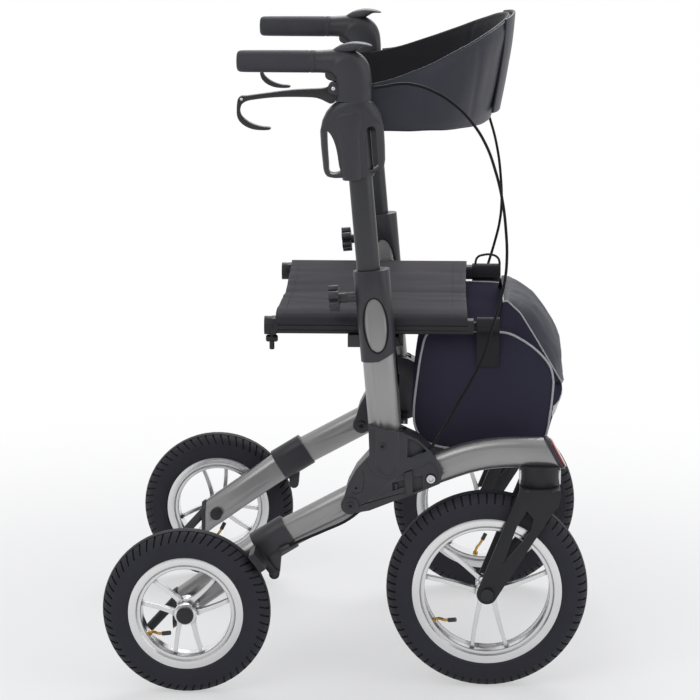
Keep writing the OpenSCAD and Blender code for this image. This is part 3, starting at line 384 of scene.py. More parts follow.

# %% [markdown]
# A finish mixes a darker and a lighter colour by a group's tone, lets the fine height bump the surface, and mixes
# in a lighter colour along edges as a painted highlight. A shade over 0 paints shade into crevices by that share.
# Values that are the same all over are set on the shader itself.

# %% Helper that makes a finish, and the finishes
def mixed(tree, share, a, b):
    return add(tree, "Mix", {"Factor": share, "A": a, "B": b}, data_type="RGBA").outputs["Result"]


def finish(name, group, dark, light, rough, bump, edge_highlight=None, sizes=(), crease=0.0, shade=0.0, **shader_values):
    """A material. Sizes go to the group, bump and crease are heights in metres."""
    made = bpy.data.materials.new(name)
    made.use_nodes = True
    t = made.node_tree
    source = add(t, "Group", node_tree=group)
    for label, value in dict(sizes).items():
        source.inputs[label].default_value = value
    source = source.outputs
    colour = mixed(t, source["Tone"], (*dark, 1), (*light, 1))
    # Painted highlight: a lighter colour mixed in along the edges.
    if edge_highlight is not None:
        colour = mixed(t, add(t, "Group", node_tree=highlit).outputs["Mask"], colour, (*edge_highlight, 1))
    # Painted shade: crevices darkened towards a share of the dark colour.
    if shade:
        deep = (*[c * (1 - shade) for c in dark], 1)
        colour = mixed(t, add(t, "Group", node_tree=crevice).outputs["Mask"], colour, deep)
    surface = {"Height": source["Height"], "Strength": 0.6, "Distance": bump}
    if crease:
        folds = add(t, "Bump", {"Height": source["Crease"], "Strength": 0.8, "Distance": crease})
        surface["Normal"] = folds.outputs["Normal"]
    shader = t.nodes["Principled BSDF"].inputs
    for label, value in shader_values.items():
        shader[label.replace("_", " ")].default_value = value
    t.links.new(colour, shader["Base Color"])
    t.links.new(range_of(t, source["Tone"], {"To Min": rough[0], "To Max": rough[1]}), shader["Roughness"])
    t.links.new(add(t, "Bump", surface).outputs["Normal"], shader["Normal"])
    return made


# A lighter edge colour in a finish is a painted highlight along its edges, and a shade is painted shade in its
# crevices.
frame_silver = finish("satin silver paint", brushing, (0.270, 0.265, 0.266), (0.370, 0.362, 0.362), (0.30, 0.40),
                      0.00003, Metallic=0.8)
charcoal_tube = finish("charcoal anodised tube", brushing, (0.040, 0.041, 0.045), (0.058, 0.058, 0.063),
                       (0.30, 0.40), 0.00002, edge_highlight=(0.14, 0.14, 0.15), Metallic=0.5)
black_plastic = finish("moulded black plastic", grain, (0.030, 0.030, 0.036), (0.042, 0.042, 0.050), (0.36, 0.46),
                       0.00005, edge_highlight=(0.12, 0.12, 0.13), shade=0.9, Specular_IOR_Level=0.42)
black_alloy = finish("black powder coat", grain, (0.016, 0.016, 0.018), (0.025, 0.025, 0.028), (0.4, 0.52), 0.00007,
                     edge_highlight=(0.075, 0.075, 0.08), sizes={"Scale": 1500, "Patches": 22}, shade=0.85,
                     Specular_IOR_Level=0.3)
polished_alloy = finish("polished alloy", brushing, (0.62, 0.62, 0.63), (0.80, 0.80, 0.81), (0.14, 0.26), 0.00002,
                        shade=0.6, Metallic=1.0)
bright_steel = finish("bright steel", brushing, (0.52, 0.52, 0.53), (0.66, 0.66, 0.67), (0.16, 0.28), 0.00002,
                      Metallic=1.0)
dark_steel = finish("blackened steel", grain, (0.020, 0.020, 0.022), (0.042, 0.042, 0.045), (0.36, 0.5), 0.00004,
                    edge_highlight=(0.16, 0.16, 0.165), shade=0.8, Metallic=0.5)
black_lever = finish("black lever coat", grain, (0.022, 0.022, 0.024), (0.034, 0.034, 0.037), (0.32, 0.44), 0.00004,
                     edge_highlight=(0.10, 0.10, 0.105), Specular_IOR_Level=0.35)
grip_rubber = finish("grip rubber", grain, (0.043, 0.043, 0.051), (0.059, 0.059, 0.070), (0.5, 0.62), 0.00010,
                     sizes={"Scale": 1100, "Patches": 20}, Specular_IOR_Level=0.25)
tyre_rubber = finish("tyre rubber", grain, (0.024, 0.024, 0.031), (0.036, 0.036, 0.046), (0.55, 0.7), 0.00012,
                     edge_highlight=(0.040, 0.040, 0.043), sizes={"Scale": 800, "Patches": 26}, shade=0.7,
                     Specular_IOR_Level=0.22)
cable_sheath = finish("cable sheath", grain, (0.008, 0.008, 0.009), (0.014, 0.014, 0.015), (0.34, 0.44), 0.00003,
                      Specular_IOR_Level=0.12)
red_lens = finish("red lens", grain, (0.26, 0.010, 0.022), (0.36, 0.016, 0.030), (0.12, 0.2), 0.00002,
                  Coat_Weight=0.6)
brass = finish("brass", brushing, (0.50, 0.30, 0.08), (0.62, 0.40, 0.13), (0.2, 0.32), 0.00002, Metallic=1.0)
seat_cloth = finish("grey nylon", weave, (0.060, 0.057, 0.065), (0.092, 0.088, 0.098), (0.55, 0.72), 0.00010,
                    crease=0.0010, Specular_IOR_Level=0.02)
seat_binding = finish("dark seat binding", weave, (0.036, 0.034, 0.041), (0.054, 0.052, 0.061), (0.55, 0.7),
                      0.00012, Specular_IOR_Level=0.06)
thread = finish("grey thread", weave, (0.075, 0.072, 0.080), (0.11, 0.106, 0.116), (0.55, 0.7), 0.00008,
                Specular_IOR_Level=0.02)
bag_cloth = finish("navy nylon", weave, (0.033, 0.031, 0.049), (0.048, 0.0455, 0.070), (0.55, 0.7), 0.00010,
                   crease=0.0012, Specular_IOR_Level=0.0)
lid_cloth = finish("blue grey nylon", weave, (0.030, 0.031, 0.043), (0.058, 0.060, 0.079), (0.42, 0.58), 0.00010,
                   crease=0.0022, Specular_IOR_Level=0.10)
band_cloth = finish("padded navy nylon", weave, (0.026, 0.0262, 0.038), (0.042, 0.0425, 0.058), (0.36, 0.5), 0.00008,
                    crease=0.0010, Specular_IOR_Level=0.25)
band_lining = finish("black band lining", weave, (0.010, 0.010, 0.012), (0.017, 0.0168, 0.020), (0.6, 0.75), 0.00010,
                     crease=0.0010, Specular_IOR_Level=0.15)
piping_cloth = finish("grey reflective piping", weave, (0.36, 0.36, 0.38), (0.50, 0.50, 0.52), (0.3, 0.45), 0.00008)
webbing = finish("black webbing", weave, (0.015, 0.015, 0.018), (0.026, 0.026, 0.031), (0.55, 0.7), 0.0003,
                 sizes={"Threads": 1600, "Creases": 30}, Specular_IOR_Level=0.2)
print("finishes:", len(bpy.data.materials))

# %% [markdown]
# Most metal and plastic pieces already have their right shape in the CAD model, but with knife-sharp edges.
# A real edge catches a thin line of light, so each is copied, merged into one skin, freed of the seams inside
# its flat faces, and given small rounded edges. The copy then stands for the CAD piece.

# %% Pieces that keep their CAD shape
def skin_of(node):
    """A merged copy of a CAD piece, without the seams inside its flat faces."""
    piece = copy_of(nodes[node], node + "_skin")
    piece.parent = None
    piece.matrix_world = Matrix.Identity(4)
    edit(piece)
    bpy.ops.mesh.customdata_custom_splitnormals_clear()
    bpy.ops.mesh.remove_doubles(threshold=2e-6)
    bpy.ops.mesh.dissolve_limited(angle_limit=math.radians(0.6))
    put_down()
    return piece


def softened(node, width, slot, finish_used):
    piece = round_edges(skin_of(node), width, angle=38, miter_outer="MITER_ARC")
    return stand_in(settle(piece, 32), node + "_look", node, slot, finish_used)


plain = {
    "main_tube": (0.5, "frame_silver", frame_silver), "leg_tube": (0.5, "frame_silver", frame_silver),
    "tube_sleeve": (1.2, "black_plastic", black_plastic), "front_cap": (1.2, "black_plastic", black_plastic),
    "reflector": (0.8, "red_lens", red_lens), "rear_cap": (1.2, "black_plastic", black_plastic),
    "lower_post": (0.5, "frame_silver", frame_silver), "caster_head": (1.2, "black_alloy", black_alloy),
    "rear_axle": (0.8, "dark_steel", dark_steel), "upper_post": (0.5, "charcoal_tube", charcoal_tube),
    "clamp_knob": (1.2, "black_plastic", black_plastic), "brake_arm": (0.8, "dark_steel", dark_steel),
    "fork": (1.0, "black_alloy", black_alloy), "front_axle": (0.8, "dark_steel", dark_steel)}
for side in SIDES:
    for part, looks in plain.items():
        made = softened(f"{side}_{part}", *looks)
        print(made.name, len(made.data.polygons), "faces")
for bar in ("cross_bar_a", "cross_bar_b"):
    softened(bar, 0.8, "black_alloy", black_alloy)

# %% [markdown]
# The next pieces are drawn as outlines or as rows of sections. A prism is a drawn outline with a thickness, a loft
# is a skin through a row of rings, and a lathe spins a line of points round an axis. All of them start from a
# circle whose points are put in place. A tube along a smooth line is drawn as a curve and made into a mesh.

# %% Helpers for outlines, prisms, lofts and tubes
def ring_of(places, name, fill="NOTHING"):
    """A circle whose points are put in the given places."""
    put_down()
    bpy.ops.mesh.primitive_circle_add(vertices=len(places), radius=0.1, fill_type=fill)
    piece = bpy.context.object
    piece.name = name
    for v, place in zip(piece.data.vertices, places):
        v.co = place
    return piece


def lathe(places, axis, steps, name):
    """Spins a line of points once round an axis through the origin."""
    piece = ring_of(places, name)
    edit(piece)
    bpy.ops.mesh.spin(steps=steps, angle=2 * math.pi, center=(0, 0, 0), axis=axis)
    put_down()
    return clean(piece, 2e-6)


def spun(points, steps, name):
    """Spins (radius, across) points round the Y axis."""
    return lathe([(r, y, 0) for r, y in points], (0, 1, 0), steps, name)


def turned(points, steps, name):
    """Spins (along, radius) points in millimetres, from axis to axis, round the X axis."""
    return lathe([(x, 0, r) for x, r in scaled(points)], (1, 0, 0), steps, name)


def prism(points, y0, y1, name):
    """A flat piece with an (x, z) outline, from y0 to y1."""
    piece = ring_of([(x, y0, z) for x, z in points], name, "NGON")
    edit(piece)
    bpy.ops.mesh.extrude_region_move(TRANSFORM_OT_translate={"value": (0, y1 - y0, 0)})
    put_down()
    return clean(piece, 1e-7)


def loft(rings, name, lined=None):
    """A closed skin through rings of points that all have the same count. Faces between the two point numbers
    in lined get the second material."""
    count, step = len(rings[0]), 0.01
    put_down()
    bpy.ops.mesh.primitive_circle_add(vertices=count, radius=0.1)
    piece = bpy.context.object
    piece.name = name
    edit(piece)
    for _ in rings[1:]:
        bpy.ops.mesh.extrude_region_move(TRANSFORM_OT_translate={"value": (0, 0, step)})
    put_down()
    spots = []
    for v in piece.data.vertices:
        spots.append(round(math.atan2(v.co.y, v.co.x) / (2 * math.pi) * count) % count)
        v.co = rings[round(v.co.z / step)][spots[-1]]
    if lined:
        for face in piece.data.polygons:
            face.material_index = int(all(lined[0] <= spots[i] <= lined[1] for i in face.vertices))
    edit(piece)
    bpy.ops.mesh.fill_holes(sides=0)
    face_outward(piece)
    return piece


def smooth(points, each, closed=False):
    """A smooth line through points, with each steps from one to the next."""
    n, out = len(points), []
    for i in range(n if closed else n - 1):
        spots = [(i + k) % n if closed else min(max(i + k, 0), n - 1) for k in (-1, 0, 1, 2)]
        p0, p1, p2, p3 = (Vector(points[spot]) for spot in spots)
        for k in range(each):
            t = k / each
            out.append(0.5 * ((2 * p1) + (p2 - p0) * t + (2 * p0 - 5 * p1 + 4 * p2 - p3) * t * t
                              + (3 * p1 - p0 - 3 * p2 + p3) * t ** 3))
    return out if closed else out + [Vector(points[-1])]


def tube_along(points, radius, name, sides=6, curved=True):
    """A round tube along points, made from a curve."""
    curve = bpy.data.curves.new(name, "CURVE")
    curve.dimensions = "3D"
    curve.bevel_depth = radius
    curve.bevel_resolution = sides
    curve.use_fill_caps = True
    line = curve.splines.new("BEZIER" if curved else "POLY")
    spots = line.bezier_points if curved else line.points
    spots.add(len(points) - 1)
    for spot, at in zip(spots, points):
        if curved:
            spot.co = at
            spot.handle_left_type = spot.handle_right_type = "AUTO"
        else:
            spot.co = (*at, 1)
    line.resolution_u = 8
    piece = bpy.data.objects.new(name, curve)
    scene.collection.objects.link(piece)
    pick(piece)
    bpy.ops.object.convert(target="MESH")
    return settle(clean(bpy.context.object), 40)


def squarish(turn, power):
    """Cosine and sine of a turn, pushed towards the corners of a square by a power over 2."""
    c, s = math.cos(turn), math.sin(turn)
    return math.copysign(abs(c) ** (2 / power), c), math.copysign(abs(s) ** (2 / power), s)


def turns(count):
    """Angles once round."""
    return [2 * math.pi * k / count for k in range(count)]


def cut_out(piece, cutter):
    modifier(piece, "BOOLEAN", object=cutter, operation="DIFFERENCE", solver="EXACT")
    bpy.data.objects.remove(cutter)


def on_side(piece, sign):
    """Moves a piece that was made round the middle plane out to its side frame."""
    return moved(piece, (0, sign * SIDE_Y, 0))


def share(value):
    """A value kept between 0 and 1."""
    return min(1, max(0, value))


print("drawing helpers ready")

# %% [markdown]
# The tyres are black pneumatic ones with a smooth sidewall, a raised line at the shoulder and short grooves that
# cut the shoulder into blocks. A torus would give the round, but no blocks.
# Here the cross-section is drawn on a circle's points and spun round the axle, and each second ring of points is
# pushed towards its neighbour, so that narrow strips alternate with wide blocks. The narrow strips are then
# pushed in to make the grooves.

# %% Tyre section and blocks
half_section = [
    (0.00, 0.83), (0.04, 0.90), (0.085, 0.945), (0.11, 0.93), (0.20, 0.975), (0.32, 1.0), (0.46, 0.995),
    (0.57, 0.965), (0.60, 0.968), (0.625, 0.94), (0.72, 0.875), (0.82, 0.745), (0.90, 0.56), (0.945, 0.42),
    (0.955, 0.33), (0.985, 0.16)]
BEAD_DEEP, BEAD_SHARE = 1.5 * MM, 0.72
BLOCKS_FROM, GROOVE_LOW, GROOVE_HIGH, GROOVE_DEEP, GROOVE_SHIFT = 0.6, 0.63, 0.93, 2.2 * MM, 0.56
LINE_LOW, LINE_HIGH, LINE_INNER, LINE_OUTER, LINE_DEEP = 0.945, 0.957, 0.30, 0.45, 2.0 * MM


def tyre(name, outer_r, width, rim_r, blocks, slant):
    tall, half = outer_r - rim_r, width / 2
    near = [(rim_r + h * tall, w * half) for h, w in half_section]
    section = near + [(outer_r, 0)] + [(r, -y) for r, y in reversed(near)]
    section += [(rim_r - BEAD_DEEP, way * BEAD_SHARE * half) for way in (-1, 1)]
    piece = spun(section, 2 * blocks, name)
    step = math.pi / blocks

    def slanted(high):
        return slant * step * (high - BLOCKS_FROM) / (1 - BLOCKS_FROM)

    def height(co):
        return (math.hypot(co.x, co.z) - rim_r) / tall

    for v in piece.data.vertices:
        r = math.hypot(v.co.x, v.co.z)
        ring = round(math.atan2(v.co.z, v.co.x) / step)
        new = (ring - GROOVE_SHIFT * (ring % 2)) * step + slanted(max(BLOCKS_FROM, height(v.co)))
        v.co.x, v.co.z = r * math.cos(new), r * math.sin(new)

    def in_groove(face):
        high = height(face.center)
        turn = math.atan2(face.center.z, face.center.x) - slanted(high)
        return GROOVE_LOW < high < GROOVE_HIGH and (turn / step + 0.001) % 2 < 0.5

    def on_line(face):
        return (LINE_LOW < height(face.center) < LINE_HIGH
                and LINE_INNER < abs(face.center.y) / half < LINE_OUTER)

    for wanted, deep in ((in_groove, GROOVE_DEEP), (on_line, LINE_DEEP)):
        print(name, wanted.__name__, choose(piece, "FACE", wanted), "faces")
        bpy.ops.mesh.extrude_region_shrink_fatten(TRANSFORM_OT_shrink_fatten={"value": -deep})
    put_down()
    return piece


print("tyre section:", 2 * len(half_section) + 3, "points")

# %% [markdown]
# The rims are polished cast alloy: a wide flat lip, a stepped ring inside it, a barrel, and three pairs of slender
# ribs that run from the hub's sides out to the ring.
# The ring and hub are spun. One rib is shaped from a cube that is cut along its length, set to the rib's line and
# rounded, then copied round the wheel.

# %% Rims with ribs and hub
RIB_START, RIB_ROOT, RIB_TIP_SHARE, RIB_SAG = 12 * MM, 9 * MM, 0.24, 1.6 * MM
RIB_WIDE, RIB_NARROWS, RIB_DEEP, RIB_THINS = 7.2 * MM, 1.4 * MM, 13 * MM, 3.5 * MM
ROOT_FLARE, ROOT_PART, TIP_FLARE, TIP_PART = 0.55, 0.2, 0.5, 0.12
RIM_SHARE, RIB_END = 0.42, 17.4 * MM
rim_lip = [(0.6, 0.98), (-0.4, 1.0), (-11.0, 0.955), (-12.0, 0.90), (-13.2, 0.84), (-14.6, 0.86), (-17.6, 0.84),
           (-18.6, 0.78), (-18.4, 0.45), (-17.6, 0.20)]
rim_bed = [(-8.5, 0.30), (-8.5, 0.55), (-3.5, 0.80), (-1.0, 0.93)]
hub_face = [(6.4, 1.0), (9, 1.0), (14.5, 0.985), (16.4, 0.95), (17, 0.88), (17, 0.62), (15.2, 0.5), (15.2, 0.1)]


def rib(reach, root, tip, name):
    put_down()
    bpy.ops.mesh.primitive_cube_add(size=1)
    bar = bpy.context.object
    bar.name = name
    edit(bar)
    bpy.ops.mesh.subdivide(number_cuts=9)
    put_down()
    for v in bar.data.vertices:
        t = v.co.x + 0.5
        at_root, at_tip = max(0, 1 - t / ROOT_PART), max(0, 1 - (1 - t) / TIP_PART)
        wide = (RIB_WIDE - RIB_NARROWS * t) * (1 + ROOT_FLARE * at_root ** 2 + TIP_FLARE * at_tip ** 2)
        deep = RIB_DEEP - RIB_THINS * t
        line = root + (tip - root) * t - RIB_SAG * math.sin(math.pi * t)
        v.co = (RIB_START + (reach - RIB_START) * t, v.co.z * deep, line + v.co.y * wide)
    return round_edges(bar, 1.5, 3, 40)


def rim(name, rim_r, width, hub_half, ribs_out, turn):
    half = RIM_SHARE * width
    face, back = ([(rim_r + dr * MM, w * half) for dr, w in part] for part in (rim_lip, rim_bed))
    other_face, other_back = ([(r, -y) for r, y in reversed(part)] for part in (face, back))
    hub = [(r * MM, w * hub_half) for r, w in hub_face]
    parts = [spun(face + other_face + other_back + back, 96, name),
             spun(hub + [(r, -y) for r, y in reversed(hub)], 64, name + "_hub")]
    for pair in range(3):
        a = math.radians(turn + 120 * pair)
        for sign in (-1, 1):
            one = rib(rim_r - RIB_END, sign * RIB_ROOT, sign * RIB_TIP_SHARE * rim_r, name + "_rib")
            for v in one.data.vertices:
                x, z = v.co.x, v.co.z
                v.co.x, v.co.z = x * math.cos(a) - z * math.sin(a), x * math.sin(a) + z * math.cos(a)
                v.co.y += ribs_out
            parts.append(one)
    return join(parts)


print("rim section:", 2 * len(rim_lip + rim_bed), "points")

# %% [markdown]
# Each wheel has a bent brass valve with a black cap. A path of points with a round section is the natural way, so
# stem, nut and cap are tubes along points that are given by how far in, how far out and how far round they lie.

# %% Valves
stem_route = [(-4, 3, 0), (6, 4, 0), (11, 7, 2), (16, 12, 6), (22, 15, 9)]
nut_route = [(0.5, 3.4, 0), (3.5, 3.8, 0)]
cap_route = [(21, 14.6, 8.6), (24, 16, 10), (31, 19.4, 13)]
VALVE_BED, STEM_R, NUT_R, CAP_R = 17 * MM, 2.3 * MM, 4.2 * MM, 3.4 * MM


def valve(rim_r, out, turn):
    """Stem and cap in the wheel's own frame, with out the side that the stem bends to."""
    def along(route):
        spots = [(rim_r - VALVE_BED - inward * MM, y * MM * out, skew * MM) for inward, y, skew in route]
        angles = [math.radians(turn) + skew / r for r, _, skew in spots]
        return [(r * math.cos(a), y, r * math.sin(a)) for (r, y, _), a in zip(spots, angles)]

    stem = tube_along(along(stem_route), STEM_R, "stem")
    nut = tube_along(along(nut_route), NUT_R, "nut", 3, False)
    cap = tube_along(along(cap_route), CAP_R, "cap", 6, False)
    return join([stem, nut]), round_edges(cap, 1.2, 3)


print("valve stem:", len(stem_route), "points")

# %% [markdown]
# All four wheels are put together from these pieces. Sizes and places come from the CAD pieces that they stand
# for, so a wheel always fits its axle. The two sides are turned differently, as wheels are that have rolled.

# %% Wheels on their axles
RIBS_OUT = 6 * MM
ends = (("front", 113 * MM, 72, 0.0), ("rear", 86.5 * MM, 60, 1.3))
rib_turn, valve_turn = {"right": 33, "left": 97}, {"right": 213, "left": 262}
for side, sign in SIDES.items():
    for end, rim_r, blocks, slant in ends:
        wheel = f"{side}_{end}"
        tyre_node, rim_node = wheel + "_tyre", wheel + "_rim"
        low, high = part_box(tyre_node)
        rim_low, rim_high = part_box(rim_node)
        centre, width, body = (low + high) / 2, high.y - low.y, node_body[tyre_node]
        outer = tyre(tyre_node + "_look", (high.z - low.z) / 2, width, rim_r, blocks, slant * sign)
        stand_in(settle(moved(outer, centre), 30), tyre_node + "_look", tyre_node, "tyre", tyre_rubber)
        inner = rim(rim_node + "_look", rim_r, width, (rim_high.y - rim_low.y) / 2, sign * RIBS_OUT, rib_turn[side])
        stand_in(settle(moved(inner, centre), 35), rim_node + "_look", rim_node, "polished_alloy", polished_alloy)
        stem, cap = valve(rim_r, sign, valve_turn[side])
        dress(moved(stem, centre), wheel + "_valve", body, "bright_steel", brass)
        dress(settle(moved(cap, centre), 40), wheel + "_valve_cap", body, "black_plastic", black_plastic)
        print(wheel, "wheel: tyre", len(outer.data.polygons), "rim", len(inner.data.polygons))

# %% [markdown]
# The handle body is one smooth moulding: a round sleeve at the grip that swells and turns down into a flattened
# foot on the post. It is lofted through sections, each given by its outer and its inner point.
# A shallow raised panel follows the outer curve, so the points inside an ellipse are pushed out a little.

# %% Handle bodies
handle_sections = [
    (-44.5, 966.5, -44.5, 933.5, 16.6), (-36, 966.6, -36.5, 933.4, 16.8), (-26, 967.2, -28, 932.6, 17.2),
    (-12, 968.2, -21, 930.5, 17.8), (5, 967.6, -16.5, 926.5, 18.2), (19, 962.6, -14.8, 921.5, 18.4),
    (29.5, 953, -14.2, 915, 18.5), (35.4, 940, -14.0, 908, 18.5), (37.6, 924, -14.2, 902, 18.5),
    (37.8, 908, -14.5, 897, 18.5), (37.4, 893.5, -14.8, 892.5, 18.5)]
visor_sections = [(-19, 968, 962, 7), (-8, 974.6, 962, 11), (6, 978.6, 962, 13), (16, 979.2, 967, 13.5),
                  (24, 978.4, 971.6, 13), (31, 976.8, 972.4, 11), (36.5, 974.9, 972.2, 7), (38.4, 973.8, 973, 2.5)]
nub_outline = [(-30.6, 940), (-30.6, 930), (-29.4, 926.4), (-26, 923.8), (-21, 922.4), (-15, 920.6), (-6, 919),
               (-6, 942)]
web_outline = [(-18, 903), (-6, 900), (-6, 922), (-18, 920)]
PANEL_X, PANEL_Z, PANEL_HALF_X, PANEL_HALF_Z, PANEL_UP = 5, 915, 29, 48.5, 2.0
PIVOT_X, PIVOT_Z, EAR_R, EAR_IN, NUB_HALF = -18, 911.5, 8.6, 6.6, 9.5 * MM


def disc(x, z, r, count=40):
    return [(x + r * math.cos(a), z + r * math.sin(a)) for a in turns(count)]


handle_rings = []
for ox, oz, ix, iz, half in smooth(handle_sections, 6):
    ring = []
    for turn in turns(72):
        c, s = squarish(turn, 2.0 + 0.5 * share((ox + 40) / 60))
        x, z = (ox + ix) / 2 + c * (ox - ix) / 2, (oz + iz) / 2 + c * (oz - iz) / 2
        inside = 1 - math.hypot((x - PANEL_X) / PANEL_HALF_X, (z - PANEL_Z) / PANEL_HALF_Z)
        panel = share(inside * 22) * share((x + 26) / 10)
        ring.append(Vector((x, s * half + math.copysign(PANEL_UP * panel * min(1, abs(s) * 2), s), z)) * MM)
    handle_rings.append(ring)
visor_rings = [[Vector((x, half * s, (top + low) / 2 + c * (top - low) / 2)) * MM
                for c, s in (squarish(turn, 2.4) for turn in turns(32))]
               for x, top, low, half in smooth(visor_sections, 4)]


def handle_moulding(name):
    nub = prism(scaled(nub_outline), -NUB_HALF, NUB_HALF, name + "_nub")
    parts = [loft(handle_rings, name), loft(visor_rings, name + "_visor"), round_edges(nub, 2.6, 3, 35)]
    for way in (-1, 1):
        for outline, ear_out in ((disc(PIVOT_X, PIVOT_Z, EAR_R), 11.4), (web_outline, 11.2)):
            ear = prism(scaled(outline), way * EAR_IN * MM, way * ear_out * MM, "ear")
            parts.append(round_edges(ear, 1.1))
    return settle(join(parts), 40)


for side, sign in SIDES.items():
    name = f"{side}_handle_moulding"
    made = on_side(handle_moulding(name), sign)
    stand_in(made, name, f"{side}_handle_body", "black_plastic", black_plastic)
print("handle moulding:", len(made.data.polygons), "faces")

# %% [markdown]
# The brake lever is a flat blade that ends in an open finger loop. Its outline is drawn once as a smooth line and
# given a thickness and rounded edges. Two bright rivets sit at its pivot and at its rear end.

# %% Brake levers
lever_outline = [
    (-15.4, 904), (-15.6, 892), (-22, 888.4), (-29, 891.0), (-36.7, 894.7), (-49.8, 897.6), (-85.8, 898.1),
    (-112.1, 896.8), (-135.1, 893.9), (-144, 892.2), (-149.5, 889.8), (-153.4, 886), (-155.4, 880), (-155.2, 874.5),
    (-152.5, 869), (-145.1, 862.5), (-135.3, 857.4), (-123.8, 854.2), (-114, 853.4), (-110.8, 852), (-111, 850.4),
    (-114, 849.2), (-123.9, 848.8), (-137, 850.2), (-148.5, 854.9), (-156.6, 862), (-160, 869.5), (-160.6, 878),
    (-160, 888), (-158.4, 895.2), (-153.6, 899), (-144.9, 899.6), (-123.5, 902.5), (-98.9, 905.9), (-71, 909.0),
    (-35, 910.8), (-25.5, 914), (-20, 919), (-16, 918), (-15.4, 911)]
LEVER_HALF = 5.6 * MM
lever_rivets = ((PIVOT_X, PIVOT_Z, 3.7, 13), (-153.4, 894.6, 2.5, 6.8))


def rivet(x, z, r, reach):
    """A pin with a low domed head at both ends."""
    half = [(0, reach), (0.55 * r, reach - 0.1 * r), (0.88 * r, reach - 0.32 * r), (r, reach - 0.6 * r)]
    return moved(spun(half + [(q, -y) for q, y in reversed(half)], 28, "rivet"), (x, 0, z))


for side, sign in SIDES.items():
    node = f"{side}_brake_lever"
    blade = prism(scaled(smooth(lever_outline, 3, True)), -LEVER_HALF, LEVER_HALF, "blade")
    blade = on_side(settle(round_edges(blade, 1.5, 3, 55), 45), sign)
    stand_in(blade, f"{side}_lever_blade", node, "black_lever", black_lever)
    rivets = on_side(settle(join([rivet(*sizes) for sizes in scaled(lever_rivets)]), 60), sign)
    dress(rivets, f"{side}_lever_rivets", node_body[node], "bright_steel", bright_steel)
print("lever blade:", len(blade.data.polygons), "faces")

# %% [markdown]
# Under each handle a bell-shaped shroud slides over the post. It has a domed cap, a tapered tongue down the outer
# side, and a strap in front and behind with a slot beside it.
# The bell is lofted along the leaning post, the two slots are cut out of it, and the tongue and the inner sleeve
# are lofts of their own that show in the slots.

# %% Shrouds
FOOT_X, FOOT_Z, SHROUD_Z, BELL_BACK = 66.22, 312.10, 777.97, 4
SHROUD_BASE = (SHROUD_Z - FOOT_Z) / math.cos(LEAN)
CAP_TOP, CAP_DROP, CAP_LIP, SLOT_REACH = 100, 22, 2.0, 40 * MM
bell = {
    "rear": [(4.5, -40), (6.5, -48.5), (11.6, -52), (18, -53.5), (52, -54), (75, -53.3), (90.7, -48.7),
             (102.3, -41.9), (110.6, -33.8), (115, -27), (119, -16)],
    "front": [(4.5, 14), (8.7, 26.5), (10.4, 31), (15, 36.3), (24.9, 38.7), (46, 40), (73, 40.8), (92.8, 38.4),
              (102.7, 34.3), (112.5, 27), (115, 22.6), (119, 12)],
    "half": [(4.5, 12), (12, 14.5), (30, 16.5), (60, 18), (90, 19.4), (108, 19.6), (115, 18.6), (119, 15)]}
tongue = {
    "rear": [(0, -26.6), (12, -28), (44, -29.4), (58, -31.6), (80, -36), (104, -36)],
    "front": [(0, 4.6), (36, 8.6), (68, 11.4), (76, 16), (104, 24)],
    "half": [(0, 18), (40, 20), (80, 21.6), (98, 21), (104, 18)]}
sleeve = {"rear": [(3, -20.5), (110, -20.5)], "front": [(3, 20.5), (110, 20.5)], "half": [(3, 15), (110, 15)]}
slots = ([(-43.8, 12.5), (-44.6, 28), (-44.2, 52), (-42.9, 73.5), (-40.6, 74.2), (-36.7, 68.5), (-32.9, 57.7),
          (-30.6, 44), (-29.4, 24), (-29, 12.5)],
         [(9.5, 15.5), (9.8, 36), (12.4, 66), (16.5, 75.4), (24, 77.6), (28, 75), (29.2, 68), (29, 52), (27.6, 17)])


def on_post(u, y, v):
    """A point beside the upper post's axis, in metres, from millimetres along the bell's own axes."""
    x, z = u - BELL_BACK, SHROUD_BASE + v
    return Vector((FOOT_X + x * math.cos(LEAN) - z * math.sin(LEAN), y,
                   FOOT_Z + x * math.sin(LEAN) + z * math.cos(LEAN))) * MM


def at_height(table, v):
    for (v0, a), (v1, b) in zip(table, table[1:]):
        if v <= v1:
            return a + (b - a) * (v - v0) / (v1 - v0)
    return table[-1][1]


def post_loft(shape, name, steps, power, lip=0.0):
    """A loft along the post, from tables of its rear, front and half width by height. A lip marks the cap."""
    low, high = shape["rear"][0][0], shape["rear"][-1][0]
    rings = []
    for i in range(steps + 1):
        v = low + (high - low) * i / steps
        rear, front, half = (at_height(shape[part], v) for part in ("rear", "front", "half"))
        ring = []
        for turn in turns(64):
            c, s = squarish(turn, power)
            u = (rear + front) / 2 + c * (front - rear) / 2
            over = share((v - (CAP_TOP - CAP_DROP * ((u + 6) / 44) ** 2)) / 1.6)
            ring.append(on_post(u, s * half + math.copysign(lip * over, s), v))
        rings.append(ring)
    return loft(rings, name)


for side, sign in SIDES.items():
    name = f"{side}_shroud_bell"
    shroud = post_loft(bell, name, 76, 2.9, CAP_LIP)
    for slot in slots:
        line = [on_post(p.x, 0, p.y) for p in smooth(slot, 3, True)]
        cut_out(shroud, prism([(p.x, p.z) for p in line], -SLOT_REACH, SLOT_REACH, "slot"))
    shroud = join([round_edges(shroud, 0.9), round_edges(post_loft(tongue, name + "_tongue", 40, 2.6), 1.0),
                   post_loft(sleeve, name + "_sleeve", 6, 2.3)])
    stand_in(on_side(settle(shroud, 36), sign), name, f"{side}_shroud", "black_plastic", black_plastic)
print("shroud:", len(shroud.data.polygons), "faces")

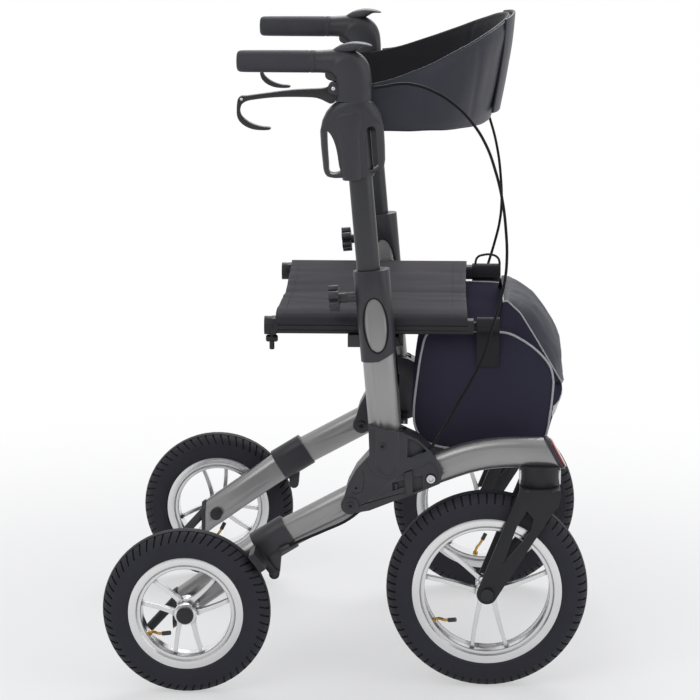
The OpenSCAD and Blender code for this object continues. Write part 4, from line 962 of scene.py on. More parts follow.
# %% [markdown]
# The hinge bracket is a casting that clamps the post and the main tube. Its outer face is stepped: a round boss
# for the post, a web with a triangular pocket beside it, and a lower part that lies deeper, with ribs and grooves.
# The copy of the CAD bracket gets these by cutting drawn prisms out of it. The boss is a loft and the ribs are
# prisms.

# %% Hinge brackets
def strip(points, width):
    """The outline of a narrow band along an open line."""
    line = smooth(points, 5)
    left, right = [], []
    for a, b in zip(line, line[1:] + [line[-1] * 2 - line[-2]]):
        side_step = Vector((a.y - b.y, b.x - a.x)).normalized() * width / 2
        left.append(a + side_step)
        right.append(a - side_step)
    return left + right[::-1]


BRACKET_OUT, CUTTER_OUT = 286, 6
lower_face = [(-40, 372), (31, 366), (33.4, 353), (39.2, 341.2), (46, 335), (53.5, 331), (62, 329.3), (70.7, 329.7),
              (80, 333.5), (90.7, 339.4), (101, 343.5), (112.2, 347.8), (119, 351.5), (125, 355.2), (129, 355),
              (133, 351), (137, 346), (139.6, 340), (140.6, 333), (139.5, 326), (150, 310), (150, 250), (-40, 250)]
pocket = [(92.4, 389.5), (92.4, 361), (99.2, 361), (106.4, 364.8), (122, 370), (112, 382), (99.4, 389)]
latch_room = [(70, 320.8), (70.1, 308.2), (88.4, 314.3), (88.4, 326)]
end_room = [(100.6, 331), (116, 333), (116, 311.6), (101, 306.3)]
low_groove = strip([(19.2, 284.8), (47.9, 293.9), (88, 306)], 1.8)
lobe_groove = strip([(25.6, 339.6), (27.7, 326.3), (27, 316), (23.5, 307), (15.6, 303.3), (9.1, 306.9)], 1.4)
bracket_cuts = ((lower_face, 2.4), (pocket, 8), (latch_room, 6.5), (end_room, 7), (low_groove, 4),
                (lobe_groove, 3.6), (disc(15.6, 312.1, 1.8, 16), 8), (disc(128, 328, 8.6), 4.5))
bracket_rib = [(88.4, 336.5), (99.6, 341), (100.6, 305.4), (91, 301.8)]
latch_bar = [(74, 319), (74.2, 310.4), (77.6, 311.4), (77.4, 320)]
bracket_extras = ((bracket_rib, 8, 0.2, 0.8), (latch_bar, 8, -2.6, 0.5), (disc(7.4, 285.4, 12.4), 6, -0.6, 1.0))
BOSS_X, BOSS_LOW, BOSS_TALL, BOSS_LEVELS, BOSS_HALF = 62.7, 329.5, 75.5, 24, 27.4
DOME_TOP, DOME_TALL, BOSS_REACH, DOME_REACH, BACK_REACH = 352, 23, 23.4, 7.6, 18
TOP_LIFT, TOP_SLANT, TOP_START, BOSS_FROM, BOSS_TURN, BOSS_SPOTS = 2.4, 0.17, 27.2, -8, 168, 32
POST_X, POST_Z, POST_FLAT, POST_ROUND, SIDE = 66.2, 312.1, 8.5, 16.3, SIDE_Y / MM


def bracket_prism(points, sign, deep, high, name):
    """A prism on the bracket's outer face, from a depth under it to a height over it."""
    return prism(scaled(points), sign * (BRACKET_OUT - deep) * MM, sign * (BRACKET_OUT + high) * MM, name)


def post_boss(sign):
    """The half sleeve over the outer side of the post, with a dome below and a slanted top."""
    rings = []
    for i in range(BOSS_LEVELS + 1):
        z = BOSS_LOW + BOSS_TALL * (i / BOSS_LEVELS) ** 1.4
        grown = math.sqrt(max(0.02, 1 - max(0, (DOME_TOP - z) / DOME_TALL) ** 2))
        post = POST_X - (z - POST_Z) * math.tan(LEAN)
        outer, inner = [], []
        for k in range(BOSS_SPOTS + 1):
            a = math.radians(BOSS_FROM + BOSS_TURN * k / BOSS_SPOTS)
            c, s = squarish(a, 2.3)
            x = BOSS_HALF * grown * c
            top = z + (TOP_LIFT - TOP_SLANT * (x + TOP_START) if i == BOSS_LEVELS else 0)
            reach = BOSS_REACH + DOME_REACH * grown if s > 0 else BACK_REACH
            outer.append(Vector((BOSS_X + x, sign * (SIDE + s * reach), top)) * MM)
            bore = (post - BOSS_X + math.copysign(POST_FLAT, math.cos(a)) + POST_ROUND * math.cos(a)) * grown
            most = max(0.2, abs(x) - 1)
            bore = BOSS_X + max(-most, min(most, bore))
            past = max(0, abs(bore - post) - POST_FLAT)
            inner.append(Vector((bore, sign * (SIDE + math.sqrt(max(0, POST_ROUND ** 2 - past ** 2))), top)) * MM)
        rings.append(outer + inner[::-1])
    return loft(rings, "post_boss")


for side, sign in SIDES.items():
    node = f"{side}_bracket"
    cast = skin_of(node)
    for points, deep in bracket_cuts:
        cut_out(cast, bracket_prism(points, sign, deep, CUTTER_OUT, "cutter"))
    parts = [round_edges(cast, 0.9, angle=42), post_boss(sign)]
    for points, deep, high, width in bracket_extras:
        parts.append(round_edges(bracket_prism(points, sign, deep, high, "extra"), width))
    cast = settle(join(parts), 34)
    stand_in(cast, f"{side}_bracket_casting", node, "black_plastic", black_plastic)
    print(cast.name, len(cast.data.polygons), "faces")

# %% [markdown]
# Cloth pieces start as flat grids whose points are put in place by two shares, and get their thickness last.
# Hems and seams show as rows of small stitches. One stitch is a tiny pointed bar, and a row repeats it along a
# line of points, lifted off the cloth by half its thickness.

# %% Helpers for cloth and for rows of stitches
def grid_of(name, across, down, place):
    """A grid whose points are put in place by two shares from 0 to 1."""
    put_down()
    bpy.ops.mesh.primitive_grid_add(x_subdivisions=across, y_subdivisions=down, size=1)
    piece = bpy.context.object
    piece.name = name
    for v in piece.data.vertices:
        v.co = place(v.co.x + 0.5, v.co.y + 0.5)
    return piece


def cloth_grid(name, across, down, place, thick):
    """A grid made into cloth, with its thickness in millimetres."""
    piece = grid_of(name, across, down, place)
    modifier(piece, "SOLIDIFY", thickness=thick * MM, offset=0)
    return settle(clean(piece), 60)


STITCH_PITCH, STITCH_LONG, STITCH_R = 4.2 * MM, 2.9 * MM, 0.35 * MM
STITCH_LIFT = Vector((0, 0, 1.5 * MM))


def spread(points, pitch):
    """Points at even steps along a line of points, each with the line's direction there."""
    out, left = [], 0.0
    for a, b in zip(points, points[1:]):
        long = (b - a).length
        while left <= long and long > 0:
            out.append((a.lerp(b, left / long), (b - a).normalized()))
            left += pitch
        left -= long
    return out


def stitches(points, name):
    put_down()
    bpy.ops.mesh.primitive_cone_add(vertices=5, radius1=STITCH_R, radius2=STITCH_R, depth=STITCH_LONG)
    one = round_edges(bpy.context.object, 0.6 * STITCH_R / MM, 1, 60)
    parts = []
    for at, way in spread([p + STITCH_LIFT for p in points], STITCH_PITCH):
        part = copy_of(one, name)
        part.data.transform(Matrix.Translation(at) @ way.to_track_quat("Z", "Y").to_matrix().to_4x4())
        parts.append(part)
    bpy.data.objects.remove(one)
    return settle(join(parts), 40)


print("cloth helpers ready")

# %% [markdown]
# The seat is a sling of grey nylon whose hems wrap over the two rails and end a little way down outside them.
# A grid is bent along the line from hem to hem. Between the rails it sags into a shallow valley with a fold in the
# middle, where it bends when the frame is folded, and with creases along the pull.
# Both hems are split off, because each stays on its rail when the rails come together.

# %% Seat sling and its stitches
HEM, GAP, HEM_DOWN, SEAT_TOP, SEAT_SAG = 12.2 * MM, 0.1 * MM, 5 * MM, 569 * MM, 12 * MM
ROLL, ROLL_UP, ROLL_STEPS, SAG_STEPS, SEAT_STEPS = 36 * MM, 13 * MM, 12, 60, 56
SEAT_PAST_REAR, SEAT_PAST_FRONT, SEAT_THICK, BINDING = 9 * MM, 5 * MM, 1.3 * MM, 0.012
SEAT_OUT = RAIL_Y + HEM + GAP
CREST = SEAT_OUT - ROLL


def sling_line():
    """Points (y, z) from the right hem over both rails to the left hem."""
    edge = [(SEAT_OUT, RAIL_Z + HEM_DOWN)]
    for i in range(ROLL_STEPS + 1):
        a = math.radians(90 * i / ROLL_STEPS)
        edge.append((SEAT_OUT - ROLL * (1 - math.cos(a)), SEAT_TOP - ROLL_UP * (1 - math.sin(a))))
    across = [1 - 2 * i / SAG_STEPS for i in range(1, SAG_STEPS)]
    middle = [(t * CREST, SEAT_TOP - SEAT_SAG * (1 - abs(t) ** 1.1)) for t in across]
    return [(-y, z) for y, z in edge + middle] + edge[::-1]


line = sling_line()
last = len(line) - 1
cad_low, cad_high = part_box("seat")
seat_rear = cad_low.x - SEAT_PAST_REAR
length = cad_high.x + SEAT_PAST_FRONT - seat_rear


def seat_x(u, y):
    """How far forward a share of the seat's length lies, with the free edges drawn in at the middle."""
    return seat_rear + u * length + 2 * MM * (1 - (y / (RAIL_Y + HEM)) ** 2) * (1 - 2 * u)


def seat_point(u, k):
    """A point of the sling by a share of its length and a place on its line, with its creases."""
    y, z = line[k]
    inside = max(0.0, 1 - (abs(y) / (RAIL_Y - HEM)) ** 6)
    pull = 1.6 * noise.noise(Vector((u * 2.2, y * 26, 3.1)))
    pull += 1.1 * noise.noise(Vector((u * 4 + y * 14, y * 55, 7.7)))
    fold = -1.6 * math.exp(-(y / (3.5 * MM)) ** 2)
    slack = 0.8 + 0.9 * (2 * u - 1) ** 2
    return Vector((seat_x(u, y), y, z + inside * (slack * pull + fold) * MM))


seat = grid_of("seat_sling", SEAT_STEPS, last, lambda u, t: seat_point(u, round(t * last)))
face_outward(seat)
if seat.data.polygons[len(seat.data.polygons) // 2].normal.z < 0:
    seat.data.flip_normals()
hems = {}
for side, sign in SIDES.items():
    known = set(scene.objects)
    choose(seat, "FACE", lambda face: face.center.y * sign > CREST)
    bpy.ops.mesh.separate(type="SELECTED")
    put_down()
    hems[side] = (set(scene.objects) - known).pop()
for piece in (seat, hems["right"], hems["left"]):
    modifier(piece, "SOLIDIFY", thickness=SEAT_THICK, offset=1)
    settle(piece, 60)
    piece.data.materials.append(seat_cloth)
    piece.data.materials.append(seat_binding)
    for face in piece.data.polygons:
        at = face.center
        free_edge = not seat_x(BINDING, at.y) <= at.x <= seat_x(1 - BINDING, at.y)
        face.material_index = int(free_edge or abs(at.y) > RAIL_Y - 2 * MM)
stand_in(seat, "seat_sling", "seat", "seat_fabric", None)
seat_thread = join([stitches([seat_point(u, k) for k in range(15, last - 14)], "seat_hem_stitches")
                    for u in (0.045, 0.925)])
dress(seat_thread, "seat_thread", node_body["seat"], "seat_fabric", thread)
for side, k in (("right", 7), ("left", last - 7)):
    row = stitches([seat_point(i / 20, k) for i in range(1, 20)], "seat_rail_stitches")
    row.data.materials.append(thread)
    dress(join([hems[side], row]), f"seat_{side}_hem", f"{side}_rail", "seat_fabric", None)
width = sum(math.dist(a, b) for a, b in zip(line, line[1:]))
print("seat: cut", round(width, 3), "by", round(length, 3), "thread:", len(seat_thread.data.polygons), "faces")

# %% [markdown]
# The bag hangs in front of the seat. Its side panels are flat with rounded corners and grey piping, and the front
# and top between them are fuller and softer.
# It is lofted: the panel's outline is laid on a circle, extruded across in steps, and each step is pushed out a
# little more towards the middle, so that the front bulges and the bottom sags as filled cloth does.

# %% Bag body
bag_outline = [(122, 534), (112, 505), (106, 465), (101, 420), (102, 392), (112, 372), (131, 360), (165, 354),
               (215, 350), (262, 349), (288, 354), (301, 374), (307, 408), (311, 446), (311, 466), (305, 486),
               (287, 507), (262, 525), (237, 535), (190, 537), (150, 536)]
side_panel = ((0.95, 1.2), (0.9, 1.6), (0.86, 1.4), (0.8, 1.0), (0.7, 0.6), (0.5, 0.3), (0.2, 0))
outline = [p * MM for p in smooth(bag_outline, 4, True)]
BAG_MIDDLE, PANEL_MIDDLE = Vector((205 * MM, 445 * MM)), (0.206, 0, 0.446)
BAG_HALF, BAG_STEPS = 202 * MM, 40
NOSE_HEIGHT, NOSE_TALL, LID_HEIGHT, LID_FADE = 0.425, 0.03, 0.436, 0.035


def bag_point(p, y):
    """A point of the bag's skin: the outline, fuller towards the middle."""
    full = 1 - abs(y / BAG_HALF) ** 3.2
    out = (p - BAG_MIDDLE).normalized()
    front, under = max(0.0, out.x) ** 1.5, max(0.0, -out.y) ** 2
    nose = math.exp(-((p.y - NOSE_HEIGHT) / NOSE_TALL) ** 2) * max(0.0, out.x)
    lidded = share((p.y - LID_HEIGHT) / LID_FADE) * front
    grow = 11 * front + 11 * nose + 9 * under + 4 * max(0.0, -out.x) - 22 * lidded
    ripple = 2.4 * noise.noise(Vector((p.x * 19, y * 13, p.y * 19)))
    q = p + out * (grow + ripple) * MM * full
    return (q.x, y, q.y)


bag = ring_of([(p.x, -BAG_HALF, p.y) for p in outline], "bag_body")
edit(bag)
for _ in range(BAG_STEPS):
    bpy.ops.mesh.extrude_region_move(TRANSFORM_OT_translate={"value": (0, 2 * BAG_HALF / BAG_STEPS, 0)})
put_down()
for v in bag.data.vertices:
    v.co = bag_point(Vector((v.co.x, v.co.z)), v.co.y)
for sign in SIDES.values():
    choose(bag, "VERT", lambda v: abs(v.co.y - sign * BAG_HALF) < 1e-5)
    for shrink, out in side_panel:
        bpy.ops.mesh.extrude_region_move(TRANSFORM_OT_translate={"value": (0, sign * out * MM, 0)})
        bpy.ops.transform.resize(value=(shrink, 1, shrink), center_override=PANEL_MIDDLE)
    bpy.ops.mesh.merge(type="CENTER")
face_outward(bag)
stand_in(settle(bag, 50), "bag_body", "bag", "bag_fabric", bag_cloth)
print("bag:", len(bag.data.polygons), "faces")

# %% [markdown]
# The bag's lid is a full, soft flap in a lighter cloth. It starts behind the rods, rises over the top and comes
# down in front to a lip. Its sides are drawn in to a piped edge, and a dark gusset joins that edge to the body.
# A grid is laid along the flap's line and rounded off towards the sides, and the gusset is a second, narrow grid.

# %% Bag lid
lid_outline = [(236, 572), (246, 575), (264.5, 568.5), (286.7, 553.5), (309, 523), (320.6, 501), (325.5, 485),
               (328.5, 461), (331, 438)]
lid_edge = [(236, 572), (242, 573), (251, 565), (261.6, 555), (272.5, 538), (283.4, 520.5), (305, 484), (315, 467),
            (325, 451)]
LID_MIDDLE, LID_HALF, LID_WIDER, LID_DROP = Vector((215, 450)), 150, 12, 17
GUSSET_IN, GUSSET_OUT = 42 * MM, 24 * MM


def along_points(points, t):
    """A point of a smooth line at a share t of its steps."""
    n = len(points) - 1
    i = min(int(t * n), n - 1)
    return smooth(points[max(i - 1, 0):i + 3], 20)[round((t * n - i + (1 if i else 0)) * 20)]


def lid_point(t, s):
    """A point of the lid: t runs from its rear edge to its lip, s from side to side (-1 to 1)."""
    top, edge = along_points(lid_outline, t), along_points(lid_edge, t)
    side = abs(s) ** (4 if s < 0 else 1.7)
    p = top.lerp(edge - Vector((0, LID_DROP if s > 0 else 0)), side)
    out = (top - LID_MIDDLE).normalized()
    crease = 2.2 * noise.noise(Vector((t * 5, s * 3.5, 1.7))) + 1.3 * noise.noise(Vector((t * 12, s * 9, 5.2)))
    q = p + out * crease * (1 - side)
    return Vector((q.x, s * (LID_HALF + LID_WIDER * t), q.y)) * MM


def gusset_of(sign):
    def place(a, b):
        start = lid_point(a, sign)
        inward = Vector((LID_MIDDLE.x * MM - start.x, 0, LID_MIDDLE.y * MM - start.z)).normalized()
        return start + (inward * GUSSET_IN + Vector((0, sign * GUSSET_OUT, 0))) * b
    return cloth_grid("bag_gusset", 30, 8, place, 1.6)


lid = cloth_grid("bag_lid", 44, 64, lambda a, b: lid_point(a, 2 * b - 1), 2.2)
dress(lid, "bag_lid", node_body["bag"], "bag_fabric", lid_cloth)
gusset = join([gusset_of(sign) for sign in SIDES.values()])
dress(gusset, "bag_gussets", node_body["bag"], "bag_fabric", bag_cloth)
print("lid:", len(lid.data.polygons), "faces, gussets:", len(gusset.data.polygons))

# %% [markdown]
# Reflective piping runs round both side panels and along the lid's edge, and a reflective band crosses the front.
# Black straps go over the rods and hold the bag, with a carrying loop on the left one.
# Piping is a thin tube along the edge, and the band and the straps are narrow grids that follow the surface they
# lie on.

# %% Bag piping, band and straps
strap_line = [(-209.5, 484), (-210.5, 505), (-213, 528), (-222, 539), (-233, 543), (-235.6, 549), (-233, 556),
              (-226, 558.4), (-218.5, 555), (-216, 548), (-215, 542)]
strap_x = {-1: (195, 34), 1: (190, 47)}
loop_line = [(196, 226, 556), (195.6, 226, 566), (199.5, 226, 574.5), (209, 226, 578), (220.7, 226, 578.6),
             (231.5, 226, 574), (235, 226, 566), (234.6, 226, 556)]
PIPING_R, LID_PIPING_R, PIPING_OUT = 1.7 * MM, 1.5 * MM, 1.0 * MM
BAND_LOW, BAND_TALL, BAND_OUT, BAND_FROM_EDGE = 404, 16, 1.6 * MM, 6 * MM
ROD_HEIGHT, ROD_LIFT = 545, 4


def band_point(a, b):
    """The reflective band on the bag's front, by shares across it and up it."""
    y = (2 * a - 1) * (BAG_HALF - BAND_FROM_EDGE)
    z = (BAND_LOW + BAND_TALL * b) * MM
    front = min((p for p in outline if p.x > 0.25), key=lambda p: abs(p.y - z))
    x, _, _ = bag_point(Vector((front.x, z)), y)
    return Vector((x + BAND_OUT, y, z))


def strap_of(sign):
    path = smooth(strap_line, 4)
    start, wide = strap_x[sign]

    def place(a, b):
        y, z = path[round(b * (len(path) - 1))]
        return Vector((start + wide * a, -sign * y, z + (ROD_LIFT if z > ROD_HEIGHT else 0))) * MM
    return cloth_grid("bag_strap", 6, len(path) - 1, place, 2.0)


trims = []
for sign in SIDES.values():
    loop = [bag_point(p, sign * BAG_HALF) for p in outline]
    edge = [(x, sign * (BAG_HALF + PIPING_OUT), z) for x, _, z in loop + loop[:1]]
    trims.append(tube_along(edge, PIPING_R, "bag_piping", 3, False))
    trims.append(tube_along([lid_point(i / 24, sign) for i in range(25)], LID_PIPING_R, "lid_piping", 3))
    trims.append(tube_along([lid_point(0, sign * s / 10) for s in range(4, 11)], LID_PIPING_R, "lid_piping", 3))
trims.append(tube_along([lid_point(1, s / 16) for s in range(-16, 17)], LID_PIPING_R, "lip_piping", 3))
trims.append(cloth_grid("bag_front_band", 60, 4, band_point, 1.2))
piping = join(trims)
dress(piping, "bag_piping", node_body["bag"], "bag_fabric", piping_cloth)
straps = [strap_of(sign) for sign in SIDES.values()]
carrying_loop = tube_along(scaled(loop_line), 1.9 * MM, "carrying_loop", 4)
dress(straps[0], "right_bag_strap", "right_rail", "bag_fabric", webbing)
dress(join([straps[1], carrying_loop]), "left_bag_strap", "left_rail", "bag_fabric", webbing)
print("piping:", len(piping.data.polygons), "faces")

# %% [markdown]
# The back band is a padded strip that bows forward from handle to handle and is tallest in the middle.
# A closed ring is swept along the bow, as the CAD solid was, but with flatter faces, a rounder edge and faint
# seams. It is lined in black. A second panel overlaps the middle of its front, and a thin binding runs along it.

# %% Back band
BAND_HALF = SIDE_Y - 18.5 * MM - 0.3 * MM - 4.5 * MM
BOW, BOW_START, END_TALL, MIDDLE_TALL, END_THICK, MIDDLE_THICK = 220 * MM, 6 * MM, 62, 150, 9, 20
BAND_DROP, BAND_HANG, BAND_LEAN, BAND_RINGS, BAND_SIDES = 103 * MM, 13 * MM, 11, 120, 48
SEAMS, SEAM_WIDE = (-62, -36, 36, 62), 1.3
PANEL_SPAN, PANEL_START, PANEL_LESS = 34, 15 * MM, 10 * MM
BINDING_R, BINDING_REACH, BINDING_STEPS = 1.5 * MM, 86, 60


def band_place(a):
    """Middle, upward and outward directions, height and thickness at an angle from -90 to 90 degrees."""
    b = max(0.0, math.cos(math.radians(a)))
    s = math.sin(math.radians(a))
    d = Vector((-BOW * s, BAND_HALF * b, 0)).normalized()
    out = Vector((d.y, -d.x, 0))
    hang = BAND_HANG * b ** 1.3
    tall = (END_TALL + (MIDDLE_TALL - END_TALL) * b ** 1.6) * MM + hang
    thick = (END_THICK + (MIDDLE_THICK - END_THICK) * b) * MM
    mid = Vector((BOW_START + BOW * b, BAND_HALF * s, GRIP_Z - BAND_DROP - hang + tall / 2))
    lean = math.radians(BAND_LEAN * b)
    up = Vector((0, 0, math.cos(lean))) + out * math.sin(lean)
    return mid, up, out, tall, thick


def band_skin(a, c):
    """A point of the band at an angle along it and an angle round its section."""
    mid, up, out, tall, thick = band_place(a)
    ca, sa = math.cos(c), math.sin(c)
    flat = math.copysign(abs(ca) ** 0.55, ca)
    high = math.copysign(abs(sa) ** 0.85, sa)
    sewn = sum(math.exp(-((a - seam) / SEAM_WIDE) ** 2) for seam in SEAMS)
    hem = math.exp(-((abs(sa) - 0.9) / 0.05) ** 2)
    puff = 1 - (0.12 if ca > 0 else 0.3) * sewn - 0.2 * hem
    fold = 2.2 * noise.noise(Vector((a * 0.06, sa * 1.2, 4.4))) + 0.6 * noise.noise(Vector((a * 0.2, sa * 2, 9)))
    wave = noise.noise(Vector((a * 0.09, 0.3, 2.2))) * MM * high
    return mid + up * (tall / 2 * high + wave) + out * (thick / 2 * flat * puff + fold * MM * (1 - abs(sa) ** 4))


def panel_point(a, b):
    """The panel over the middle of the band's front, by shares along it and up it."""
    mid, up, out, tall, thick = band_place(PANEL_SPAN * (a - 0.5))
    high = -tall / 2 + PANEL_START + (tall - PANEL_LESS) * b
    bow = 2 * MM * math.sin(math.pi * b)
    tuck = 2.6 * MM * abs(2 * a - 1) ** 6
    full = 0.62 + 0.38 * math.sin(math.pi * b) if b > 0.5 else 1.3 - 0.6 * b
    return mid + up * high + out * (thick / 2 * full + bow + 1.4 * MM - tuck)


band = loft([[band_skin(-90 + 180 * i / BAND_RINGS, turn) for turn in turns(BAND_SIDES)]
             for i in range(BAND_RINGS + 1)], "back_band_pad", (BAND_SIDES // 4, 3 * BAND_SIDES // 4))
settle(band, 60)
band.data.materials.append(band_cloth)
band.data.materials.append(band_lining)
stand_in(band, "back_band_pad", "back_band", "band_fabric", None)
panel = settle(round_edges(cloth_grid("band_panel", 24, 20, panel_point, 4), 1.2), 50)
dress(panel, "band_panel", node_body["back_band"], "band_fabric", band_cloth)
binding_places = [BINDING_REACH * (2 * i / BINDING_STEPS - 1) for i in range(BINDING_STEPS + 1)]
binding = join([tube_along([band_skin(a, turn) for a in binding_places], BINDING_R, "band_binding", 3)
                for turn in (math.pi / 2, -math.pi / 2)])
dress(binding, "band_binding", node_body["back_band"], "band_fabric", band_cloth)
print("band:", len(band.data.polygons), "faces, panel:", len(panel.data.polygons))

# %% [markdown]
# When the rollator is folded, the seat, the bag and the band are pressed together between the two side frames.
# No rigid motion shows that. Here each of these pieces only gets a mesh of its own, and the anchors and the shares
# to keep that are listed with them are not used.

# %% Soft pieces get meshes of their own
for pieces, anchor_y, keep in (((seat, seat_thread), -CREST, 0.276), ((bag, lid, gusset, piping), -RAIL_Y, 0.32),
                               ((band, panel, binding), -BAND_HALF, 0.38)):
    for piece in pieces:
        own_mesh(piece)

# %% [markdown]
# Each grip is a smooth rubber sleeve, a touch thinner at the rear, with a rounded end and two fine rings at its
# front. It is turned like a table leg: its half-section is drawn and spun round the handle's axis.

# %% Grips
grip_line = [(0, 0), (0, 6), (0.4, 10.5), (1.6, 13.4), (3.6, 15.0), (6.5, 15.8), (14, 16.1), (40, 16.3), (80, 16.4),
             (106, 16.5), (107, 15.9), (108, 15.9), (109, 16.5), (114.6, 16.5), (115.6, 16.1), (116, 15.2),
             (116, 12.4), (60, 12.4), (6, 12.4), (6, 0)]
for side in SIDES:
    node = f"{side}_grip"
    low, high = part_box(node)
    centre = (low + high) / 2
    grip = moved(turned(grip_line, 72, node + "_look"), (low.x, centre.y, centre.z))
    stand_in(settle(grip, 40), node + "_look", node, "grip_rubber", grip_rubber)
print("grips:", len(grip_line), "points in the section")

# %% [markdown]
# The brake cables run in black sheaths: out of the handle, forward in a wide arc, down past the seat, through the
# bracket's duct and back under the tube to the brake. A tube along a smooth curve gives that, and the points are
# the CAD model's own.

# %% Brake cables
route = [(40.35, 0, 912), (58, 0, 914.1), (76, 0, 917.4), (100, 0, 916.3), (130, 2, 906.1), (160, 3, 886.9),
         (186, 4, 860.1), (206, 5, 828), (220, 6, 790), (230, 7, 749.9), (236, 8, 705), (238, 9, 656.8),
         (235, 10, 625.2), (228, 12, 594.2), (217, 14, 555.2), (204, 16, 511.8), (186, 18, 474.9), (168, 19, 443.9),
         (152, 20, 415), (140, 20.5, 394.1), (129, 20.5, 377), (98, 20.5, 348.8), (67.5, 20.5, 320.5),
         (37, 20.5, 292.3), (6, 20.5, 264), (-34, 20.5, 244), (-70, 20.5, 228), (-84, 20.5, 221)]
CABLE_R = 2.2 * MM
for side, sign in SIDES.items():
    points = [(x, sign * (SIDE_Y + out), z) for x, out, z in scaled(route)]
    sheath = tube_along(points, CABLE_R, f"{side}_cable_look", 5)
    sheath.data.name = sheath.name
    sheath.data.materials.clear()
    sheath.data.materials.append(cable_sheath)
    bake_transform(sheath)
    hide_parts(f"{side}_brake_cable")
    print(side, "cable:", round(sum(math.dist(a, b) for a, b in zip(points, points[1:])), 3), "m")

# %% [markdown]
# The seat rails are black extrusions with two fine grooves along their outer face. They are copies of the CAD
# rails with the grooves cut by prisms. A clamp ring sits at each rear end, and on the right a rounded T hook hangs
# under it, which is turned on a lathe like the grips.

# %% Seat rails
bar_line = [(-9, 0), (-9, 3.6), (-7.4, 5.2), (-4.5, 5.6), (-3.4, 4.7), (3.4, 4.7), (4.5, 5.6), (7.4, 5.2), (9, 3.6),
            (9, 0)]
stem_line = [(-10, 0), (-10, 3.0), (-9, 3.8), (9, 3.8), (9, 0)]
RAIL_OUT, GROOVE_HALF, HOOK_X = RAIL_Y + 12 * MM, 0.8, -113 * MM
BAR_Z, STEM_Z, NECK_Z = 529 * MM, 522 * MM, 533 * MM


def block(x0, z0, x1, z1, sign, y, inward, outward, name):
    """A box in millimetres that reaches inward and outward from a plane at y, which is in metres."""
    corners = scaled([(x0, z0), (x1, z0), (x1, z1), (x0, z1)])
    return prism(corners, sign * (y - inward * MM), sign * (y + outward * MM), name)


def upright(piece):
    """Turns a piece that was made along X so that it stands along Z."""
    for v in piece.data.vertices:
        v.co = (-v.co.z, v.co.y, v.co.x)
    return piece


for side, sign in SIDES.items():
    node = f"{side}_seat_rail"
    rail = skin_of(node)
    for z in (551.6, 544.4):
        cut_out(rail, block(-104, z - GROOVE_HALF, 182, z + GROOVE_HALF, sign, RAIL_OUT, 1.4, 5, "cutter"))
    parts = [rail, block(-113.5, 536.6, -105.5, 561.4, sign, RAIL_Y, 12.9, 12.9, "ring")]
    if side == "right":
        cut_out(rail, block(-150, 500, -80, 535.5, sign, RAIL_Y, 30, 30, "cutter"))
        parts.append(moved(turned(bar_line, 40, "hook_bar"), (HOOK_X, sign * RAIL_Y, BAR_Z)))
        for z in (STEM_Z, NECK_Z):
            parts.append(moved(upright(turned(stem_line, 32, "hook_stem")), (HOOK_X, sign * RAIL_Y, z)))
    rail = settle(join([round_edges(part, 0.7, angle=42) for part in parts]), 34)
    stand_in(rail, node + "_look", node, "black_alloy", black_alloy)
    print(rail.name, len(rail.data.polygons), "faces")

# %% [markdown]
# Each collar has an oval window on both faces, through which the silver post shows, with painted shadow round it.
# The CAD collar has the outer window. The inner one is cut by a prism along the leaning post, and the painted
# shadow on each face is a thin, very dark tube along the window's edge, where the window's wall shades the post.

# %% Collars
WINDOW_X, WINDOW_Z, WINDOW_HALF_L, WINDOW_HALF_H = 44.6 * MM, 559.3 * MM, 18.5 * MM, 41.5 * MM
COLLAR_R, COLLAR_FLAT, SHADOW_RING_R, CUT_FROM, CUT_TO = 18.5 * MM, 8.5 * MM, 0.9 * MM, 30 * MM, 14 * MM
window_edge = []
for turn in turns(48):
    across, up = WINDOW_HALF_L * math.cos(turn), WINDOW_HALF_H * math.sin(turn)
    window_edge.append((WINDOW_X + across * math.cos(LEAN) - up * math.sin(LEAN),
                        WINDOW_Z + across * math.sin(LEAN) + up * math.cos(LEAN)))


def collar_face(x, z):
    """How far the collar's face stands out from the middle of the post there."""
    across = abs((x - WINDOW_X) * math.cos(LEAN) + (z - WINDOW_Z) * math.sin(LEAN))
    return math.sqrt(COLLAR_R ** 2 - max(0.0, across - COLLAR_FLAT) ** 2)


for side, sign in SIDES.items():
    node = f"{side}_collar"
    collar = skin_of(node)
    cut_out(collar, prism(window_edge, sign * (SIDE_Y - CUT_FROM), sign * (SIDE_Y - CUT_TO), "cutter"))
    stand_in(settle(round_edges(collar, 0.8, angle=38), 32), node + "_look", node, "black_plastic", black_plastic)
    # Painted shadow: a very dark ring round each window, where the window's wall shades the post.
    shadow_rings = []
    for way in (-1, 1):
        loop = [(x, sign * SIDE_Y + way * collar_face(x, z), z) for x, z in window_edge + window_edge[:1]]
        shadow_rings.append(tube_along(loop, SHADOW_RING_R, "seal", 2, False))
    dress(join(shadow_rings), node + "_seals", node_body[node], "black_plastic", cable_sheath)
    print(collar.name, len(collar.data.polygons), "faces")

# %% [markdown]
# The bracket's bolts have round heads with a hexagonal socket. A cylinder is inset and its middle pushed in to a
# six-sided hole. Each bolt is given by its radius, height and socket, its place, the face that it sits on, and
# whether it looks outward or inward.

# %% Bolts
SOCKET_ROOM, SOCKET_DEEP, HEAD_ROUND = 1.16, 0.6, 0.12
NUT, NUT_FACE = (6.8, 4, 3.2), 238
dark_bolts = (((5.0, 3.2, 2.3), 55.3, 378.6, 289.6, 1), ((5.4, 3.4, 2.4), 7.4, 285.4, 285.2, 1),
              ((4.6, 2.4, 2.1), -198.1, 165.1, 274, 1), (NUT, 55.51, 377.89, NUT_FACE, -1),
              (NUT, 7.16, 285.0, NUT_FACE, -1))
bright_bolts = (((6.6, 5, 3.4), 127.8, 327.4, 281.6, 1), (NUT, 127.42, 326.29, NUT_FACE, -1))


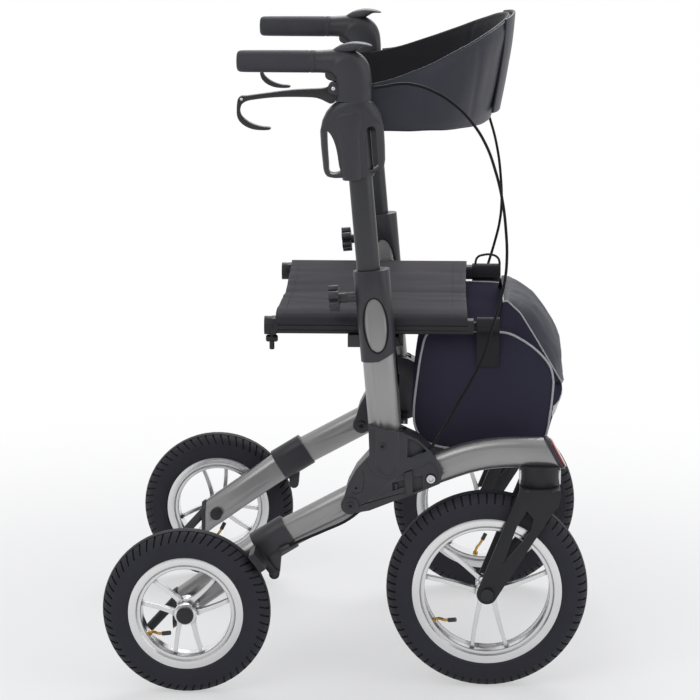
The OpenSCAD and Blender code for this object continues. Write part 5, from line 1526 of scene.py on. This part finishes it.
def bolt_head(r, t, socket):
    """A round head on the Y axis from 0 to t, with a six-sided socket in its face."""
    put_down()
    bpy.ops.mesh.primitive_cylinder_add(vertices=48, radius=r, depth=t, location=(0, 0, t / 2))
    head = settle(bpy.context.object)
    choose(head, "FACE", lambda face: face.normal.z > 0.9)
    bpy.ops.mesh.inset(thickness=r - socket * SOCKET_ROOM)
    put_down()
    for v in head.data.vertices:
        if v.co.z > t / 2 and math.hypot(v.co.x, v.co.y) < r * 0.98:
            a = math.atan2(v.co.y, v.co.x)
            six = socket / math.cos((a % (math.pi / 3)) - math.pi / 6)
            v.co.x, v.co.y = six * math.cos(a), six * math.sin(a)
    choose(head, "FACE", lambda face: face.normal.z > 0.9 and face.center.xy.length < socket * 0.2)
    bpy.ops.mesh.extrude_region_move(TRANSFORM_OT_translate={"value": (0, 0, -SOCKET_DEEP * t)})
    put_down()
    round_edges(head, HEAD_ROUND * t / MM)
    for v in head.data.vertices:
        v.co = (v.co.x, v.co.z, -v.co.y)
    return head


def bolts(table, sign):
    """The bolts of one side as one piece."""
    heads = []
    for sizes, x, z, face, outward in table:
        head, way = bolt_head(*(size * MM for size in sizes)), sign * outward
        for v in head.data.vertices:
            v.co = (v.co.x + x * MM, sign * face * MM + way * v.co.y, v.co.z + z * MM)
        if way < 0:
            head.data.flip_normals()
        heads.append(head)
    return settle(join(heads), 35)


for side, sign in SIDES.items():
    dress(bolts(dark_bolts, sign), f"{side}_dark_bolts", f"{side}_frame", "dark_steel", dark_steel,
          f"{side}_fasteners")
    dress(bolts(bright_bolts, sign), f"{side}_bright_bolt", f"{side}_frame", "bright_steel", bright_steel)
print("bolts: five dark heads and two bright ones a side")

# %% [markdown]
# Two dark screws hold each fork's plate to its crown, and two bright lugs stand beside the caster head.
# The screws are made like the bolts, and a lug is a drawn outline with a thickness and rounded edges.

# %% Fork screws and caster lugs
FORK_SCREW, SCREW_Z, SCREW_SUNK = (2.4, 1.4, 1.1), 313.5, 0.4
LUG_PAST, LUG_OVER, LUG_UP, LUG_DOWN = 1.2, 3.4, 1.5, 6
for side, sign in SIDES.items():
    low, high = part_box(f"{side}_fork")
    face = max(-low.y, high.y) / MM - SCREW_SUNK
    screws = bolts([(FORK_SCREW, x, SCREW_Z, face, 1) for x in (272.5, 311.2)], sign)
    dress(screws, f"{side}_fork_screws", node_body[f"{side}_fork"], "dark_steel", dark_steel)
    node = f"{side}_caster_head"
    low, high = (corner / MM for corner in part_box(node))
    lugs = [block(x0, low.z + LUG_UP, x1, high.z - LUG_DOWN, sign, SIDE_Y, 7, 11, "lug")
            for x0, x1 in ((low.x - LUG_PAST, low.x + LUG_OVER), (high.x - LUG_OVER, high.x + LUG_PAST))]
    lugs = settle(join([round_edges(lug, 1.6, 3) for lug in lugs]), 40)
    dress(lugs, f"{side}_caster_lugs", node_body[node], "bright_steel", bright_steel)
print("fork screws and caster lugs: two of each a side")
